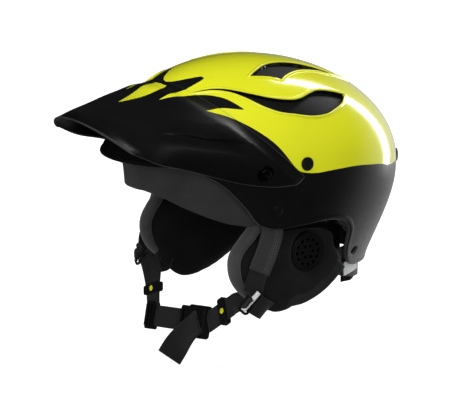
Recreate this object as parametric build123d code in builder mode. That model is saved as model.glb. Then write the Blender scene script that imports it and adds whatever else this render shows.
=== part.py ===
from build123d import *
from math import atan2, cos, exp, hypot, pi, sin, sqrt
import os

# A full-shell water-sports helmet with a fixed peak, ear pads, a fastened chin strap and a nape cradle.
# Own frame, mm: +Z up, front towards -Y, wearer's left towards +X.
# The origin is on the midplane, at the level where the shell is widest, halfway along its length.

os.makedirs("parts", exist_ok=True)

# ---------------------------------------------------------------- driving dimensions
HALF_WIDTH = 108.0          # outer shell, at the widest level
HALF_LENGTH = 139.0         # outer shell, at the widest level
CROWN_HEIGHT = 93.0         # crown above the widest level
CROWN_LEAN = -20.0          # the crown stands this far forward
SIDE_TUCK = 32.0            # narrowing of the half width at the lower reference level
FRONT_TUCK = 25.0           # the same for the front
REAR_TUCK = 27.0            # the same for the back
LOW_LEVEL = 105.0           # depth of the lower reference level
BRIM_FLARE = 14.0           # how far the front edge flares out under the peak
BRIM_HALF_SPAN = 0.72       # sine of the plan angle where the flare starts

SHELL_WALL = 3.0
LINER_GAP = 3.8             # outer shell surface to the liner's outer surface
LINER_WALL = 16.6
BROW_INSET = 9.5            # outer shell surface to the exposed brow of the liner
BROW_WALL = 11.0
PAD_INSET = 21.3
REAR_PAD_EXTRA = 1.6        # the liner's inner face leans in at the back
PAD_WALL = 7.0

PEAK_WALL = 2.6
PEAK_CLEARANCE = 3.3        # peak's outer face above the shell's outer face, where it lies on the shell

SCREW_SPOT = (-60.0, 8.5)   # (y, z) on the shell's side
PLUG_SPOT = (-18.0, 12.5)
RIVET_SPOT = (-45.0, -27.0)
LOBE_SPOT = (56.0, -84.0)
REAR_PLUG_ANGLE = 64.0      # degrees from +X
REAR_PLUG_LEVEL = -9.0
LOBE_HOLE_RADIUS = 4.0

PIVOT_Y = -64.0             # chin strap hinge line, along X
PIVOT_Z = -107.0
CHIN_DROP = (-12.0, -39.0)  # (y, z) fall of the chin strap's plane
WEB_WIDTH = 20.0
WEB_THICK = 1.8

NAPE_Y = 45.0               # nape cradle hinge line, along X
NAPE_Z = -58.0
NAPE_PIN_RADIUS = 2.5
NAPE_BORE_CLEARANCE = 0.06
NAPE_HALF_WIDTH = 66.0
NAPE_HALF_LENGTH = 108.0
NAPE_WALL = 2.6

RIM = [(-165, 14), (-141, 12), (-117, 10), (-93, -1), (-73, -23), (-62, -38), (-50, -44.5), (-37, -46),
       (-20, -45), (-2, -43.8), (15, -44.5), (29, -48.7), (37, -57.5), (38.5, -67), (40, -78), (45, -89),
       (54, -98), (67, -104)]
NAPE_LINE = [(92, -108), (125, -108), (170, -106)]
BROW_EDGE = [(-150, -13), (-127, -17), (-106, -29), (-81, -40), (-57, -45)]


# ---------------------------------------------------------------- shape of the head form
def smooth(t):
    """Ease from 0 to 1."""
    t = min(max(t, 0.0), 1.0)
    return t * t * (3 - 2 * t)


def dome_point(p, q, inset, flare):
    """A point of the head form; p and q run from -1 to 1 across the width and the length."""
    across = p * sqrt(1 - 0.4 * q * q)
    along = q * sqrt(1 - 0.4 * p * p)
    reach = 1.8 * hypot(across, along)
    phi = atan2(along, across)
    if reach <= 1:
        tau = reach * pi / 2
        x = (HALF_WIDTH - inset) * sin(tau) * cos(phi)
        y = CROWN_LEAN * cos(tau) + (HALF_LENGTH - inset) * sin(tau) * sin(phi)
        z = (CROWN_HEIGHT - inset) * cos(tau)
    else:
        z = -CROWN_HEIGHT * pi / 2 * (reach - 1)
        depth = -z / LOW_LEVEL
        half_width = HALF_WIDTH - SIDE_TUCK * depth ** 2 - inset
        front = HALF_LENGTH - FRONT_TUCK * depth ** 2 - inset
        back = HALF_LENGTH - REAR_TUCK * smooth((-z - 20) / 95) - inset
        ease = -CROWN_LEAN * pi / 2 * (reach - 1) * exp(-(reach - 1) / 0.1)
        x = half_width * cos(phi)
        y = (front if phi < 0 else back) * sin(phi) + ease
    out = flare * smooth((40 - z) / 28) * smooth((-sin(phi) - BRIM_HALF_SPAN) / (1 - BRIM_HALF_SPAN))
    return Vector(x, y - out, z)


def dome_face(inset, flare=0.0, count=27):
    """The head form as one smooth open surface."""
    steps = [2 * i / (count - 1) - 1 for i in range(count)]
    grid = [[dome_point(p, q, inset, flare) for q in steps] for p in steps]
    return Face.make_surface_from_array_of_points(grid, tol=0.05, min_deg=3, max_deg=3)


def side_x(y, z, inset=0.0):
    """Half width of the head form at a height and a station along the length."""
    if z >= 0:
        lean = y - CROWN_LEAN * z / CROWN_HEIGHT
        left = 1 - (z / (CROWN_HEIGHT - inset)) ** 2 - (lean / (HALF_LENGTH - inset)) ** 2
        return (HALF_WIDTH - inset) * sqrt(left)
    depth = -z / LOW_LEVEL
    half_width = HALF_WIDTH - SIDE_TUCK * depth ** 2 - inset
    front = HALF_LENGTH - FRONT_TUCK * depth ** 2 - inset
    back = HALF_LENGTH - REAR_TUCK * smooth((-z - 20) / 95) - inset
    return half_width * sqrt(1 - (y / (front if y < 0 else back)) ** 2)


def side_plane(side, spot):
    """A plane touching the shell's side at (y, z), its normal pointing out."""
    y, z = spot
    step = 0.5
    slope_y = (side_x(y + step, z) - side_x(y - step, z)) / (2 * step)
    slope_z = (side_x(y, z + step) - side_x(y, z - step)) / (2 * step)
    normal = Vector(side, -slope_y, -slope_z)
    return Plane((side * side_x(y, z), y, z), x_dir=(0, 1, 0), z_dir=normal.normalized())


def rear_plane(side):
    """A plane touching the shell's back quarter just below the widest level, its normal pointing out."""
    turn = REAR_PLUG_ANGLE * pi / 180
    over = -REAR_PLUG_LEVEL / (CROWN_HEIGHT * pi / 2)
    lean = -CROWN_LEAN * pi / 2 * over * exp(-over / 0.1)
    x = side * HALF_WIDTH * cos(turn)
    y = HALF_LENGTH * sin(turn)
    normal = Vector(x / HALF_WIDTH ** 2, y / HALF_LENGTH ** 2, 0)
    return Plane((x, y + lean, REAR_PLUG_LEVEL), x_dir=(0, 0, 1), z_dir=normal.normalized())


def off_shell(x, y, z, gap):
    """Move a point out along its ray until it is at least gap outside the head form."""
    if z >= 0:
        lean = y - CROWN_LEAN * z / CROWN_HEIGHT
        level = sqrt((x / (HALF_WIDTH + gap)) ** 2 + (lean / (HALF_LENGTH + gap)) ** 2
                     + (z / (CROWN_HEIGHT + gap)) ** 2)
        if level < 1:
            return Vector(x / level, y / level, z / level)
        return Vector(x, y, z)
    least = side_x(y, z) + gap
    if abs(x) < least:
        x = least if x > 0 else -least
    return Vector(x, y, z)


def above_rim(lift):
    """Side-view region above the shell's rim, moved up by lift."""
    with BuildSketch(Plane.YZ) as region:
        with BuildLine():
            edge = Spline(*[(y, z + lift) for y, z in RIM])
            nape = [(y, z + lift) for y, z in NAPE_LINE]
            Polyline(edge @ 1, *nape, (170, 130), (-190, 130), edge @ 0)
        make_face()
    return region.sketch


def both_sides():
    """The two sides: wearer's left is +1."""
    return (1, -1)


# ---------------------------------------------------------------- outer shell
CRESCENT_OUTER = [(48, -37), (35, -14), (30, 16), (34, 44), (31, 78)]
CRESCENT_INNER = [(31, 78), (40, 42), (45, 14), (57, -12)]
CRESCENT_FRONT = [(57, -12), (51, -28), (48, -37)]
SWEEP_INNER = [(38, -90), (47, -72), (65, -49.5), (77, -22.7), (77, 0), (69.5, 22), (67, 50)]
SWEEP_OUTER = [(67, 50), (84, 27), (90.5, -1), (84.4, -33), (67.5, -54), (48, -75), (38, -90)]


def vent_outline(side, runs):
    """Plan outline of one vent from smooth runs that meet at corners."""
    with BuildSketch(Plane.XY.offset(30)) as hole:
        with BuildLine():
            for run in runs:
                Spline(*[(side * x, y) for x, y in run])
        make_face()
    return hole.sketch


rim_region = above_rim(0.0)
crescent_runs = (CRESCENT_OUTER, CRESCENT_INNER, CRESCENT_FRONT)
crescents = {side: vent_outline(side, crescent_runs) for side in both_sides()}
sweeps = {side: vent_outline(side, (SWEEP_INNER, SWEEP_OUTER)) for side in both_sides()}
with BuildPart() as outer_shell:
    thicken(dome_face(0.0, BRIM_FLARE, 29), -SHELL_WALL)
    extrude(rim_region, amount=130, both=True, mode=Mode.INTERSECT)
    for side in both_sides():
        extrude(crescents[side], amount=80, mode=Mode.SUBTRACT)
        extrude(sweeps[side], amount=80, mode=Mode.SUBTRACT)
        for spot, radius in ((SCREW_SPOT, 2.5), (PLUG_SPOT, 3.1), (RIVET_SPOT, 2.6)):
            with BuildSketch(side_plane(side, spot)):
                Circle(radius)
            extrude(amount=8, both=True, mode=Mode.SUBTRACT)
        with BuildSketch(side_plane(side, LOBE_SPOT)):
            Circle(LOBE_HOLE_RADIUS)
        extrude(amount=8, both=True, mode=Mode.SUBTRACT)
        with BuildSketch(rear_plane(side)):
            Circle(3.1)
        extrude(amount=8, both=True, mode=Mode.SUBTRACT)
outer_shell.part.label = "outer_shell"
export_step(outer_shell.part, "parts/outer_shell.step")


# ---------------------------------------------------------------- foam liner
def nape_relief():
    """Side-view region left free of foam for the nape cradle's arms."""
    with BuildSketch(Plane.YZ) as region:
        with BuildLine():
            Polyline((24, -45), (60, -74), (170, -84), (170, -130), (24, -130), close=True)
        make_face()
    return region.sketch


def brow_region():
    """Side-view region around the brow that shows below the shell's front rim."""
    with BuildSketch(Plane.YZ) as region:
        with BuildLine():
            edge = Spline(*BROW_EDGE)
            Polyline(edge @ 1, (-57, -20), (-100, 30), (-170, 30), edge @ 0)
        make_face()
    return region.sketch


foam_region = above_rim(2.0)
relief = nape_relief()
with BuildPart() as shock_liner:
    thicken(dome_face(LINER_GAP), -LINER_WALL)
    extrude(foam_region, amount=130, both=True, mode=Mode.INTERSECT)
    extrude(relief, amount=130, both=True, mode=Mode.SUBTRACT)
    for side in both_sides():
        for spot, radius in ((SCREW_SPOT, 6.5), (PLUG_SPOT, 4.5), (RIVET_SPOT, 6.0)):
            with BuildSketch(side_plane(side, spot).offset(-11)):
                Circle(radius)
            extrude(amount=12, mode=Mode.SUBTRACT)
        with BuildSketch(rear_plane(side).offset(-11)):
            Circle(4.5)
        extrude(amount=12, mode=Mode.SUBTRACT)
        with BuildSketch(Plane.YZ.offset(side * 60)):
            with Locations((NAPE_Y, NAPE_Z)):
                Circle(NAPE_PIN_RADIUS)
        extrude(amount=side * 20, mode=Mode.SUBTRACT)
shock_liner.part.label = "shock_liner"
export_step(shock_liner.part, "parts/shock_liner.step")

brow_sketch = brow_region()
brow_limit = above_rim(1.7)
with BuildPart() as brow_liner:
    thicken(dome_face(BROW_INSET), -BROW_WALL)
    extrude(brow_sketch, amount=130, both=True, mode=Mode.INTERSECT)
    extrude(brow_limit, amount=130, both=True, mode=Mode.SUBTRACT)
brow_liner.part.label = "brow_liner"
export_step(brow_liner.part, "parts/brow_liner.step")


# ---------------------------------------------------------------- comfort pads
def box_region(low, high):
    """A box between two corners, used to cut a pad from the pad layer."""
    size = [b - a for a, b in zip(low, high)]
    middle = [(a + b) / 2 for a, b in zip(low, high)]
    return Pos(*middle) * Box(*size)


def cut_pad(label, low, high, inset=PAD_INSET):
    """One comfort pad cut from the layer inside the liner."""
    region = box_region(low, high)
    with BuildPart() as pad:
        thicken(dome_face(inset), -PAD_WALL)
        add(region, mode=Mode.INTERSECT)
    pad.part.label = label
    export_step(pad.part, "parts/" + label + ".step")


cut_pad("brow_pad", (-78, -140, -16), (78, -78, 12))
cut_pad("crown_pad", (-26, -60, 50), (26, 45, 90))
cut_pad("rear_pad", (-46, 60, -66), (46, 140, -10), PAD_INSET + REAR_PAD_EXTRA)
with BuildPart() as side_pads:
    thicken(dome_face(PAD_INSET), -PAD_WALL)
    with BuildSketch(Plane.YZ):
        with Locations((2.5, -2)):
            Rectangle(67, 50)
    extrude(amount=-120, mode=Mode.INTERSECT)
    mirror(about=Plane.YZ)
side_pads.part.label = "side_pads"
export_step(side_pads.part, "parts/side_pads.step")


# ---------------------------------------------------------------- peak
# The peak is drawn in parallel slanted sections, each the plane y + z = station.
# Columns: station, half width at the lower edge, height of the lower edge, height of the crest, and
# the two exponents that shape the section between them, across and upward.
PEAK_SECTIONS = [
    (-20.0, 109.5, 1.0, 78.0, 2.0, 2.0),
    (-30.0, 109.3, -3.0, 74.5, 2.0, 2.1),
    (-40.0, 108.0, -5.0, 72.5, 2.1, 2.3),
    (-58.0, 103.5, -5.0, 67.5, 2.3, 2.5),
    (-80.0, 93.5, 0.0, 63.5, 2.3, 2.6),
    (-106.0, 79.5, 14.0, 60.0, 2.1, 2.2),
    (-125.0, 74.0, 23.0, 58.5, 1.7, 1.6),
    (-135.0, 67.5, 33.0, 53.0, 2.0, 1.5),
]


def peak_section(t):
    """Section values at t from 0 (rear) to 1 (front tip), blended between the listed sections."""
    place = t * (len(PEAK_SECTIONS) - 1)
    first = min(int(place), len(PEAK_SECTIONS) - 2)
    part = place - first
    before = PEAK_SECTIONS[max(first - 1, 0)]
    low = PEAK_SECTIONS[first]
    high = PEAK_SECTIONS[first + 1]
    after = PEAK_SECTIONS[min(first + 2, len(PEAK_SECTIONS) - 1)]
    values = []
    for a, b, c, d in zip(before, low, high, after):
        start = (c - a) / 2
        end = (d - b) / 2
        values.append(b + part * (start + part * (3 * (c - b) - 2 * start - end
                      + part * (2 * (b - c) + start + end))))
    return values


def peak_point(t, turn, gap):
    """A point of the peak; turn runs from -1 (right lower edge) over the crest to 1 (left)."""
    station, half_width, edge_z, crest_z, wide_power, high_power = peak_section(t)
    angle = abs(turn) * pi / 2
    x = half_width * sin(angle) ** (2 / wide_power)
    z = edge_z + (crest_z - edge_z) * cos(angle) ** (2 / high_power)
    x = x if turn > 0 else -x
    return off_shell(x, station - z, z, gap)


def peak_face(gap, rows=22, columns=33):
    """The outer face of the peak."""
    grid = []
    for i in range(rows):
        turns = [2 * j / (columns - 1) - 1 for j in range(columns)]
        grid.append([peak_point(i / (rows - 1), turn, gap) for turn in turns])
    return Face.make_surface_from_array_of_points(grid, tol=0.05, min_deg=3, max_deg=3)


with BuildPart() as visor:
    thicken(peak_face(PEAK_CLEARANCE), -PEAK_WALL)
    for side in both_sides():
        with BuildSketch(side_plane(side, SCREW_SPOT).offset(0.7)):
            Circle(9)
        extrude(amount=4.3)
        with BuildSketch(side_plane(side, SCREW_SPOT).offset(4.2)):
            Circle(7.6)
        extrude(amount=12, mode=Mode.SUBTRACT)
        with BuildSketch(side_plane(side, SCREW_SPOT)):
            Circle(2.5)
        extrude(amount=12, mode=Mode.SUBTRACT)
visor.part.label = "visor"
export_step(visor.part, "parts/visor.step")

with BuildPart() as visor_badge:
    with BuildSketch(Plane.XY.offset(60)):
        with Locations((0, -118)):
            Polygon((-10, 0), (0, -30), (10, 0), (0, 16), align=None)
    extrude(amount=20)
    thick_top = thicken(peak_face(PEAK_CLEARANCE), 1.2, mode=Mode.PRIVATE)
    add(thick_top, mode=Mode.INTERSECT)
visor_badge.part.label = "visor_badge"
export_step(visor_badge.part, "parts/visor_badge.step")


# ---------------------------------------------------------------- fasteners
def round_stack(planes, label, layers):
    """One group of alike turned pieces; each layer is (radius, start, length) along the plane's normal."""
    with BuildPart() as group:
        for plane in planes:
            for radius, start, length in layers:
                with BuildSketch(plane.offset(start)):
                    Circle(radius)
                extrude(amount=length)
    group.part.label = label
    export_step(group.part, "parts/" + label + ".step")


screw_planes = [side_plane(side, SCREW_SPOT) for side in both_sides()]
round_stack(screw_planes, "visor_screws", [(4.6, 5.1, 1.8), (2.4, -8.0, 13.2)])
plug_planes = [side_plane(side, PLUG_SPOT) for side in both_sides()]
plug_planes += [rear_plane(side) for side in both_sides()]
round_stack(plug_planes, "shell_plugs", [(5.6, 0.45, 1.6), (3.0, -8.0, 8.5)])
rivet_planes = [side_plane(side, RIVET_SPOT) for side in both_sides()]
round_stack(rivet_planes, "strap_rivets", [(5.0, 0.15, 1.5), (2.5, -7.0, 7.2), (5.0, -7.0, 1.5)])

with BuildPart() as visor_washers:
    for plane in screw_planes:
        with BuildSketch(plane.offset(4.25)):
            Circle(7.2)
            Circle(2.5, mode=Mode.SUBTRACT)
        extrude(amount=0.8)
visor_washers.part.label = "visor_washers"
export_step(visor_washers.part, "parts/visor_washers.step")

with BuildPart() as visor_nuts:
    for plane in screw_planes:
        with BuildSketch(plane.offset(-7.2)):
            RegularPolygon(5.2, 6)
            Circle(2.45, mode=Mode.SUBTRACT)
        extrude(amount=3.6)
visor_nuts.part.label = "visor_nuts"
export_step(visor_nuts.part, "parts/visor_nuts.step")


# ---------------------------------------------------------------- ear pads
EAR_INNER = 77.0
EAR_OUTER = 90.0
EAR_OUTLINE = [(-52, -50), (-70, -57), (-78, -71), (-78, -83), (-72, -95), (-50, -112), (-34, -122),
               (-9, -119), (14, -111), (35, -101), (40, -86), (31, -70), (25, -55), (4, -50), (-24, -49)]
MESH_SPOT = (-4.0, -73.0)
MESH_RADIUS = 18.0
MESH_HOLE_RADIUS = 1.4
RING_SWEEP = 16.0           # radius the strap ring's upper end sweeps about the hinge line
STRAP_SWEEP = 9.5           # the same for the webbing behind it
RING_INNER_X = 83.5


def ear_pad(side, label):
    """Padded ear piece hanging below the shell's side rim, with a seat for the mesh disc."""
    with BuildPart() as pad:
        with BuildSketch(Plane.YZ.offset(side * EAR_INNER)):
            with BuildLine():
                Spline(*EAR_OUTLINE, periodic=True)
            make_face()
        extrude(amount=side * (EAR_OUTER - EAR_INNER))
        fillet(pad.faces().filter_by(Plane.YZ).edges(), 3.0)
        with BuildSketch(Plane.YZ.offset(side * (EAR_INNER - 1))):
            with Locations(MESH_SPOT):
                Circle(MESH_RADIUS + 0.3)
        extrude(amount=side * (EAR_OUTER - EAR_INNER + 2), mode=Mode.SUBTRACT)
        for radius, start in ((RING_SWEEP, RING_INNER_X), (STRAP_SWEEP, EAR_INNER - 1)):
            with BuildSketch(Plane.YZ.offset(side * start)):
                with Locations((PIVOT_Y, PIVOT_Z)):
                    Circle(radius)
            extrude(amount=side * (EAR_OUTER - start + 1), mode=Mode.SUBTRACT)
    pad.part.label = label
    export_step(pad.part, "parts/" + label + ".step")


def ear_mesh(side, label):
    """Moulded disc with sound holes that fills the opening of the ear pad."""
    with BuildPart() as disc:
        with BuildSketch(Plane.YZ.offset(side * (EAR_OUTER - 5))):
            with Locations(MESH_SPOT):
                Circle(MESH_RADIUS)
                for ring_radius, holes in ((11.5, 12), (5.5, 6)):
                    with PolarLocations(ring_radius, holes):
                        Circle(MESH_HOLE_RADIUS, mode=Mode.SUBTRACT)
        extrude(amount=side * 3.5)
    disc.part.label = label
    export_step(disc.part, "parts/" + label + ".step")


def upper_strap(side, label):
    """Webbing tab from under the shell's rim, over the ear pad, down to the strap ring."""
    inner = EAR_OUTER + 0.8
    outer = inner + WEB_THICK
    with BuildPart() as tab:
        with BuildSketch(Plane.XZ.offset(44)):
            points = [(outer, -49), (outer, -90.8), (inner, -90.8), (inner, -49)]
            Polygon(*[(side * x, z) for x, z in points], align=None)
        extrude(amount=22)
    tab.part.label = label
    export_step(tab.part, "parts/" + label + ".step")


for side, name in ((1, "left"), (-1, "right")):
    ear_pad(side, name + "_ear_pad")
    ear_mesh(side, name + "_ear_mesh")
    upper_strap(side, name + "_upper_strap")


# ---------------------------------------------------------------- chin strap
# Everything on the fastened strap lies in one slanted plane through the hinge line: local x is the
# part's X, local y runs up the strap, the normal points to the front.
drop = Vector(0, *CHIN_DROP).normalized()
CHIN = Plane((0, PIVOT_Y, PIVOT_Z), x_dir=(1, 0, 0), z_dir=Vector(1, 0, 0).cross(-drop))
NEAR_BEND = (66.0, -9.0)
NEAR_END = (33.0, -36.0)
FAR_BEND = (-73.0, -13.0)
FAR_END = (-57.0, -45.0)
RING_X = 90.0
BUCKLE_FAR = (-54.0, -52.0)


def run_frame(start, end):
    """Unit direction and length of a straight run of webbing."""
    dx = end[0] - start[0]
    dy = end[1] - start[1]
    length = hypot(dx, dy)
    return dx / length, dy / length, length


def run_plane(start, end, along, lift=0.0):
    """A plane lying in the strap, at a distance along a run, its local x along the run."""
    dx, dy, length = run_frame(start, end)
    spot = CHIN.from_local_coords(Vector(start[0] + dx * along, start[1] + dy * along, lift))
    reach = CHIN.from_local_coords(Vector(start[0] + dx * (along + 1), start[1] + dy * (along + 1), lift))
    return Plane(spot, x_dir=reach - spot, z_dir=CHIN.z_dir)


def plate(plane, length, width, thick, start=0.0):
    """A flat strip along the plane's local x, centred on its width and thickness."""
    with BuildPart() as strip:
        with BuildSketch(plane.offset(-thick / 2)):
            with Locations((start + length / 2, 0)):
                Rectangle(length, width)
        extrude(amount=thick)
    return strip.part


def webbing(label, points):
    """Straight runs of flat webbing joined at their bends by round corners."""
    runs = []
    for start, end in zip(points, points[1:]):
        length = run_frame(start, end)[2]
        runs.append(plate(run_plane(start, end, 0), length, WEB_WIDTH, WEB_THICK))
    with BuildPart() as web:
        for run in runs:
            add(run)
        for bend in points[1:-1]:
            with BuildSketch(CHIN.offset(-WEB_THICK / 2)):
                with Locations(bend):
                    Circle(WEB_WIDTH / 2)
            extrude(amount=WEB_THICK)
    web.part.label = label
    export_step(web.part, "parts/" + label + ".step")


webbing("left_chin_strap", [(80.5, -4.2), NEAR_BEND, (38.0, -31.9)])
webbing("right_chin_strap", [(-76.5, -9.5), FAR_BEND, (-61.9, -35.2)])


def strap_ring(side, label):
    """Flat ring between the upper tab and the chin strap, with a round bar on the hinge line."""
    with BuildPart() as ring:
        with BuildSketch(CHIN.offset(-1.5)):
            with Locations((side * (RING_X - 1.0), 2.0)):
                RectangleRounded(9.0, 27.0, 3.0)
                RectangleRounded(3.4, 21.0, 1.2, mode=Mode.SUBTRACT)
        extrude(amount=3.0)
        with BuildSketch(Plane.YZ.offset(side * (RING_X - 5.3))):
            with Locations((PIVOT_Y, PIVOT_Z)):
                Circle(2.0)
        extrude(amount=side * 9.4)
    ring.part.label = label
    export_step(ring.part, "parts/" + label + ".step")


strap_ring(1, "left_strap_ring")
strap_ring(-1, "right_strap_ring")


def keeper(plane, label):
    """Sliding sleeve around the webbing."""
    slot = plate(plane, 20.0, WEB_WIDTH + 0.6, WEB_THICK + 0.5, -10.0)
    with BuildPart() as sleeve:
        with BuildSketch(plane.offset(-2.6)):
            RectangleRounded(9.0, WEB_WIDTH + 5.0, 2.0)
        extrude(amount=5.2)
        add(slot, mode=Mode.SUBTRACT)
    sleeve.part.label = label
    export_step(sleeve.part, "parts/" + label + ".step")


keeper(run_plane(NEAR_BEND, NEAR_END, 17.0), "left_keeper")
keeper(run_plane(FAR_BEND, FAR_END, 17.5), "right_keeper")

SOCKET_LENGTH = 26.0
SOCKET_WIDTH = 30.0
SOCKET_THICK = 9.5
CAVITY_WIDTH = 23.0
CAVITY_THICK = 5.6
PRONG_LENGTH = 19.0
PRONG_WIDTH = 4.6
PLUG_GAP = 0.25
buckle_plane = run_plane(NEAR_END, BUCKLE_FAR, 0.6)

mouth = plate(buckle_plane, 30.0, CAVITY_WIDTH, CAVITY_THICK, 5.0)
side_windows = plate(buckle_plane, 9.0, SOCKET_WIDTH + 2, CAVITY_THICK, 9.0)
with BuildPart() as buckle_socket:
    with BuildSketch(buckle_plane.offset(-SOCKET_THICK / 2)):
        with Locations((SOCKET_LENGTH / 2, 0)):
            RectangleRounded(SOCKET_LENGTH, SOCKET_WIDTH, 4.0)
    extrude(amount=SOCKET_THICK)
    fillet(buckle_socket.edges().filter_by(Axis(buckle_plane.origin, buckle_plane.z_dir), reverse=True), 1.2)
    add(mouth, mode=Mode.SUBTRACT)
    add(side_windows, mode=Mode.SUBTRACT)
buckle_socket.part.label = "buckle_socket"
export_step(buckle_socket.part, "parts/buckle_socket.step")

plug_start = SOCKET_LENGTH + 0.6
with BuildPart() as buckle_plug:
    with BuildSketch(buckle_plane.offset(-3.6)):
        with Locations((plug_start + 6.0, 0)):
            RectangleRounded(12.0, 27.0, 3.0)
        with Locations((plug_start + 7.5, 0)):
            Rectangle(3.0, WEB_WIDTH + 0.6, mode=Mode.SUBTRACT)
    extrude(amount=7.2)
    prong_thick = CAVITY_THICK - 2 * PLUG_GAP
    prong_side = CAVITY_WIDTH / 2 - PLUG_GAP - PRONG_WIDTH / 2
    for shift in (-prong_side, 0.0, prong_side):
        with BuildSketch(buckle_plane.offset(-prong_thick / 2)):
            with Locations((plug_start + 0.5 - PRONG_LENGTH / 2, shift)):
                RectangleRounded(PRONG_LENGTH + 1.0, PRONG_WIDTH, 1.6)
        extrude(amount=prong_thick)
buckle_plug.part.label = "buckle_plug"
export_step(buckle_plug.part, "parts/buckle_plug.step")

web_start = plug_start + 12.4
web_end = 101.0
LOCK_START = 84.0
LOCK_LENGTH = 12.0
adjuster_run = plate(buckle_plane, web_end - web_start, WEB_WIDTH, WEB_THICK, web_start)
with BuildPart() as adjuster_strap:
    add(adjuster_run)
adjuster_strap.part.label = "adjuster_strap"
export_step(adjuster_strap.part, "parts/adjuster_strap.step")

lock_slot = plate(buckle_plane, 30.0, WEB_WIDTH + 0.7, WEB_THICK + 0.7, LOCK_START - 8)
with BuildPart() as ladder_lock:
    with BuildSketch(buckle_plane.offset(-3.4)):
        with Locations((LOCK_START + LOCK_LENGTH / 2, 0)):
            RectangleRounded(LOCK_LENGTH, WEB_WIDTH + 6, 2.5)
    extrude(amount=6.8)
    add(lock_slot, mode=Mode.SUBTRACT)
    for start in (LOCK_START + 2.0, LOCK_START + 7.0):
        with BuildSketch(buckle_plane):
            with Locations((start + 1.4, 0)):
                Rectangle(2.8, WEB_WIDTH + 0.7)
        extrude(amount=6.0, mode=Mode.SUBTRACT)
ladder_lock.part.label = "ladder_lock"
export_step(ladder_lock.part, "parts/ladder_lock.step")

tail_plane = run_plane((24.0, -40.0), (-8.0, -72.0), 0.0, SOCKET_THICK / 2 + 0.3 + WEB_THICK / 2)
tail_run = plate(tail_plane, 46.0, WEB_WIDTH + 2, WEB_THICK)
with BuildPart() as strap_tail:
    add(tail_run)
strap_tail.part.label = "strap_tail"
export_step(strap_tail.part, "parts/strap_tail.step")


# ---------------------------------------------------------------- nape cradle
def cradle_ring(low, high, half_width, half_length, wall):
    """Part of an elliptical band between two levels."""
    with BuildPart() as band:
        with BuildSketch(Plane.XY.offset(low)):
            Ellipse(half_width, half_length)
            Ellipse(half_width - wall, half_length - wall, mode=Mode.SUBTRACT)
        extrude(amount=high - low)
    return band.part


cradle_band = cradle_ring(-128, -48, NAPE_HALF_WIDTH, NAPE_HALF_LENGTH, NAPE_WALL)
with BuildPart() as nape_cradle:
    add(cradle_band)
    with BuildSketch(Plane.YZ):
        with BuildLine():
            front = Line((38, -49), (38, -106))
            low = Spline(front @ 1, (60, -114.5), (112, -127))
            Polyline(low @ 1, (112, -112.5), (74, -105), (56, -95), (52, -49), front @ 0)
        make_face()
    extrude(amount=90, both=True, mode=Mode.INTERSECT)
    with BuildSketch(Plane.YZ.offset(-NAPE_HALF_WIDTH)):
        with Locations((NAPE_Y, NAPE_Z)):
            Circle(NAPE_PIN_RADIUS + NAPE_BORE_CLEARANCE)
    extrude(amount=2 * NAPE_HALF_WIDTH, mode=Mode.SUBTRACT)
nape_cradle.part.label = "nape_cradle"
export_step(nape_cradle.part, "parts/nape_cradle.step")

PIN_HEAD_X = 53.0
PIN_HEAD_RADIUS = 4.5
PIN_HEAD_LENGTH = 2.2
with BuildPart() as nape_pins:
    for side in both_sides():
        for radius, start, length in ((PIN_HEAD_RADIUS, PIN_HEAD_X, PIN_HEAD_LENGTH),
                                      (NAPE_PIN_RADIUS, PIN_HEAD_X + 2.0, 23.5)):
            with BuildSketch(Plane.YZ.offset(side * start)):
                with Locations((NAPE_Y, NAPE_Z)):
                    Circle(radius)
            extrude(amount=side * length)
nape_pins.part.label = "nape_pins"
export_step(nape_pins.part, "parts/nape_pins.step")

pad_width = NAPE_HALF_WIDTH - NAPE_WALL - 0.4
pad_length = NAPE_HALF_LENGTH - NAPE_WALL - 0.4
pad_band = cradle_ring(-125, -113, pad_width, pad_length, 6.0)
pad_limit = box_region((-42, 66, -125), (42, 112, -113))
with BuildPart() as nape_pad:
    add(pad_band)
    add(pad_limit, mode=Mode.INTERSECT)
nape_pad.part.label = "nape_pad"
export_step(nape_pad.part, "parts/nape_pad.step")

tab_band = cradle_ring(-114, -101, NAPE_HALF_WIDTH + 1.8, NAPE_HALF_LENGTH + 1.8, 1.5)
tab_limit = box_region((-90, 60, -114), (90, 86, -101))
with BuildPart() as nape_tabs:
    add(tab_band)
    add(tab_limit, mode=Mode.INTERSECT)
nape_tabs.part.label = "nape_tabs"
export_step(nape_tabs.part, "parts/nape_tabs.step")

# ---------------------------------------------------------------- rear clip
CLIP_HALF_WIDTH = 8.0
with BuildPart() as rear_clip:
    with BuildSketch(Plane.YZ.offset(-CLIP_HALF_WIDTH)):
        with BuildLine():
            Polyline((131.9, -54), (134.0, -54), (143.5, -60), (143.0, -67), (138.5, -69.5), (137.8, -66.8),
                     (140.4, -65.2), (140.8, -61.4), (130.9, -57.5), (131.9, -54))
        make_face()
    extrude(amount=2 * CLIP_HALF_WIDTH)
rear_clip.part.label = "rear_clip"
export_step(rear_clip.part, "parts/rear_clip.step")
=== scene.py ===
import math

import bmesh
import bpy
import numpy as np
from mathutils import Matrix, Vector


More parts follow.
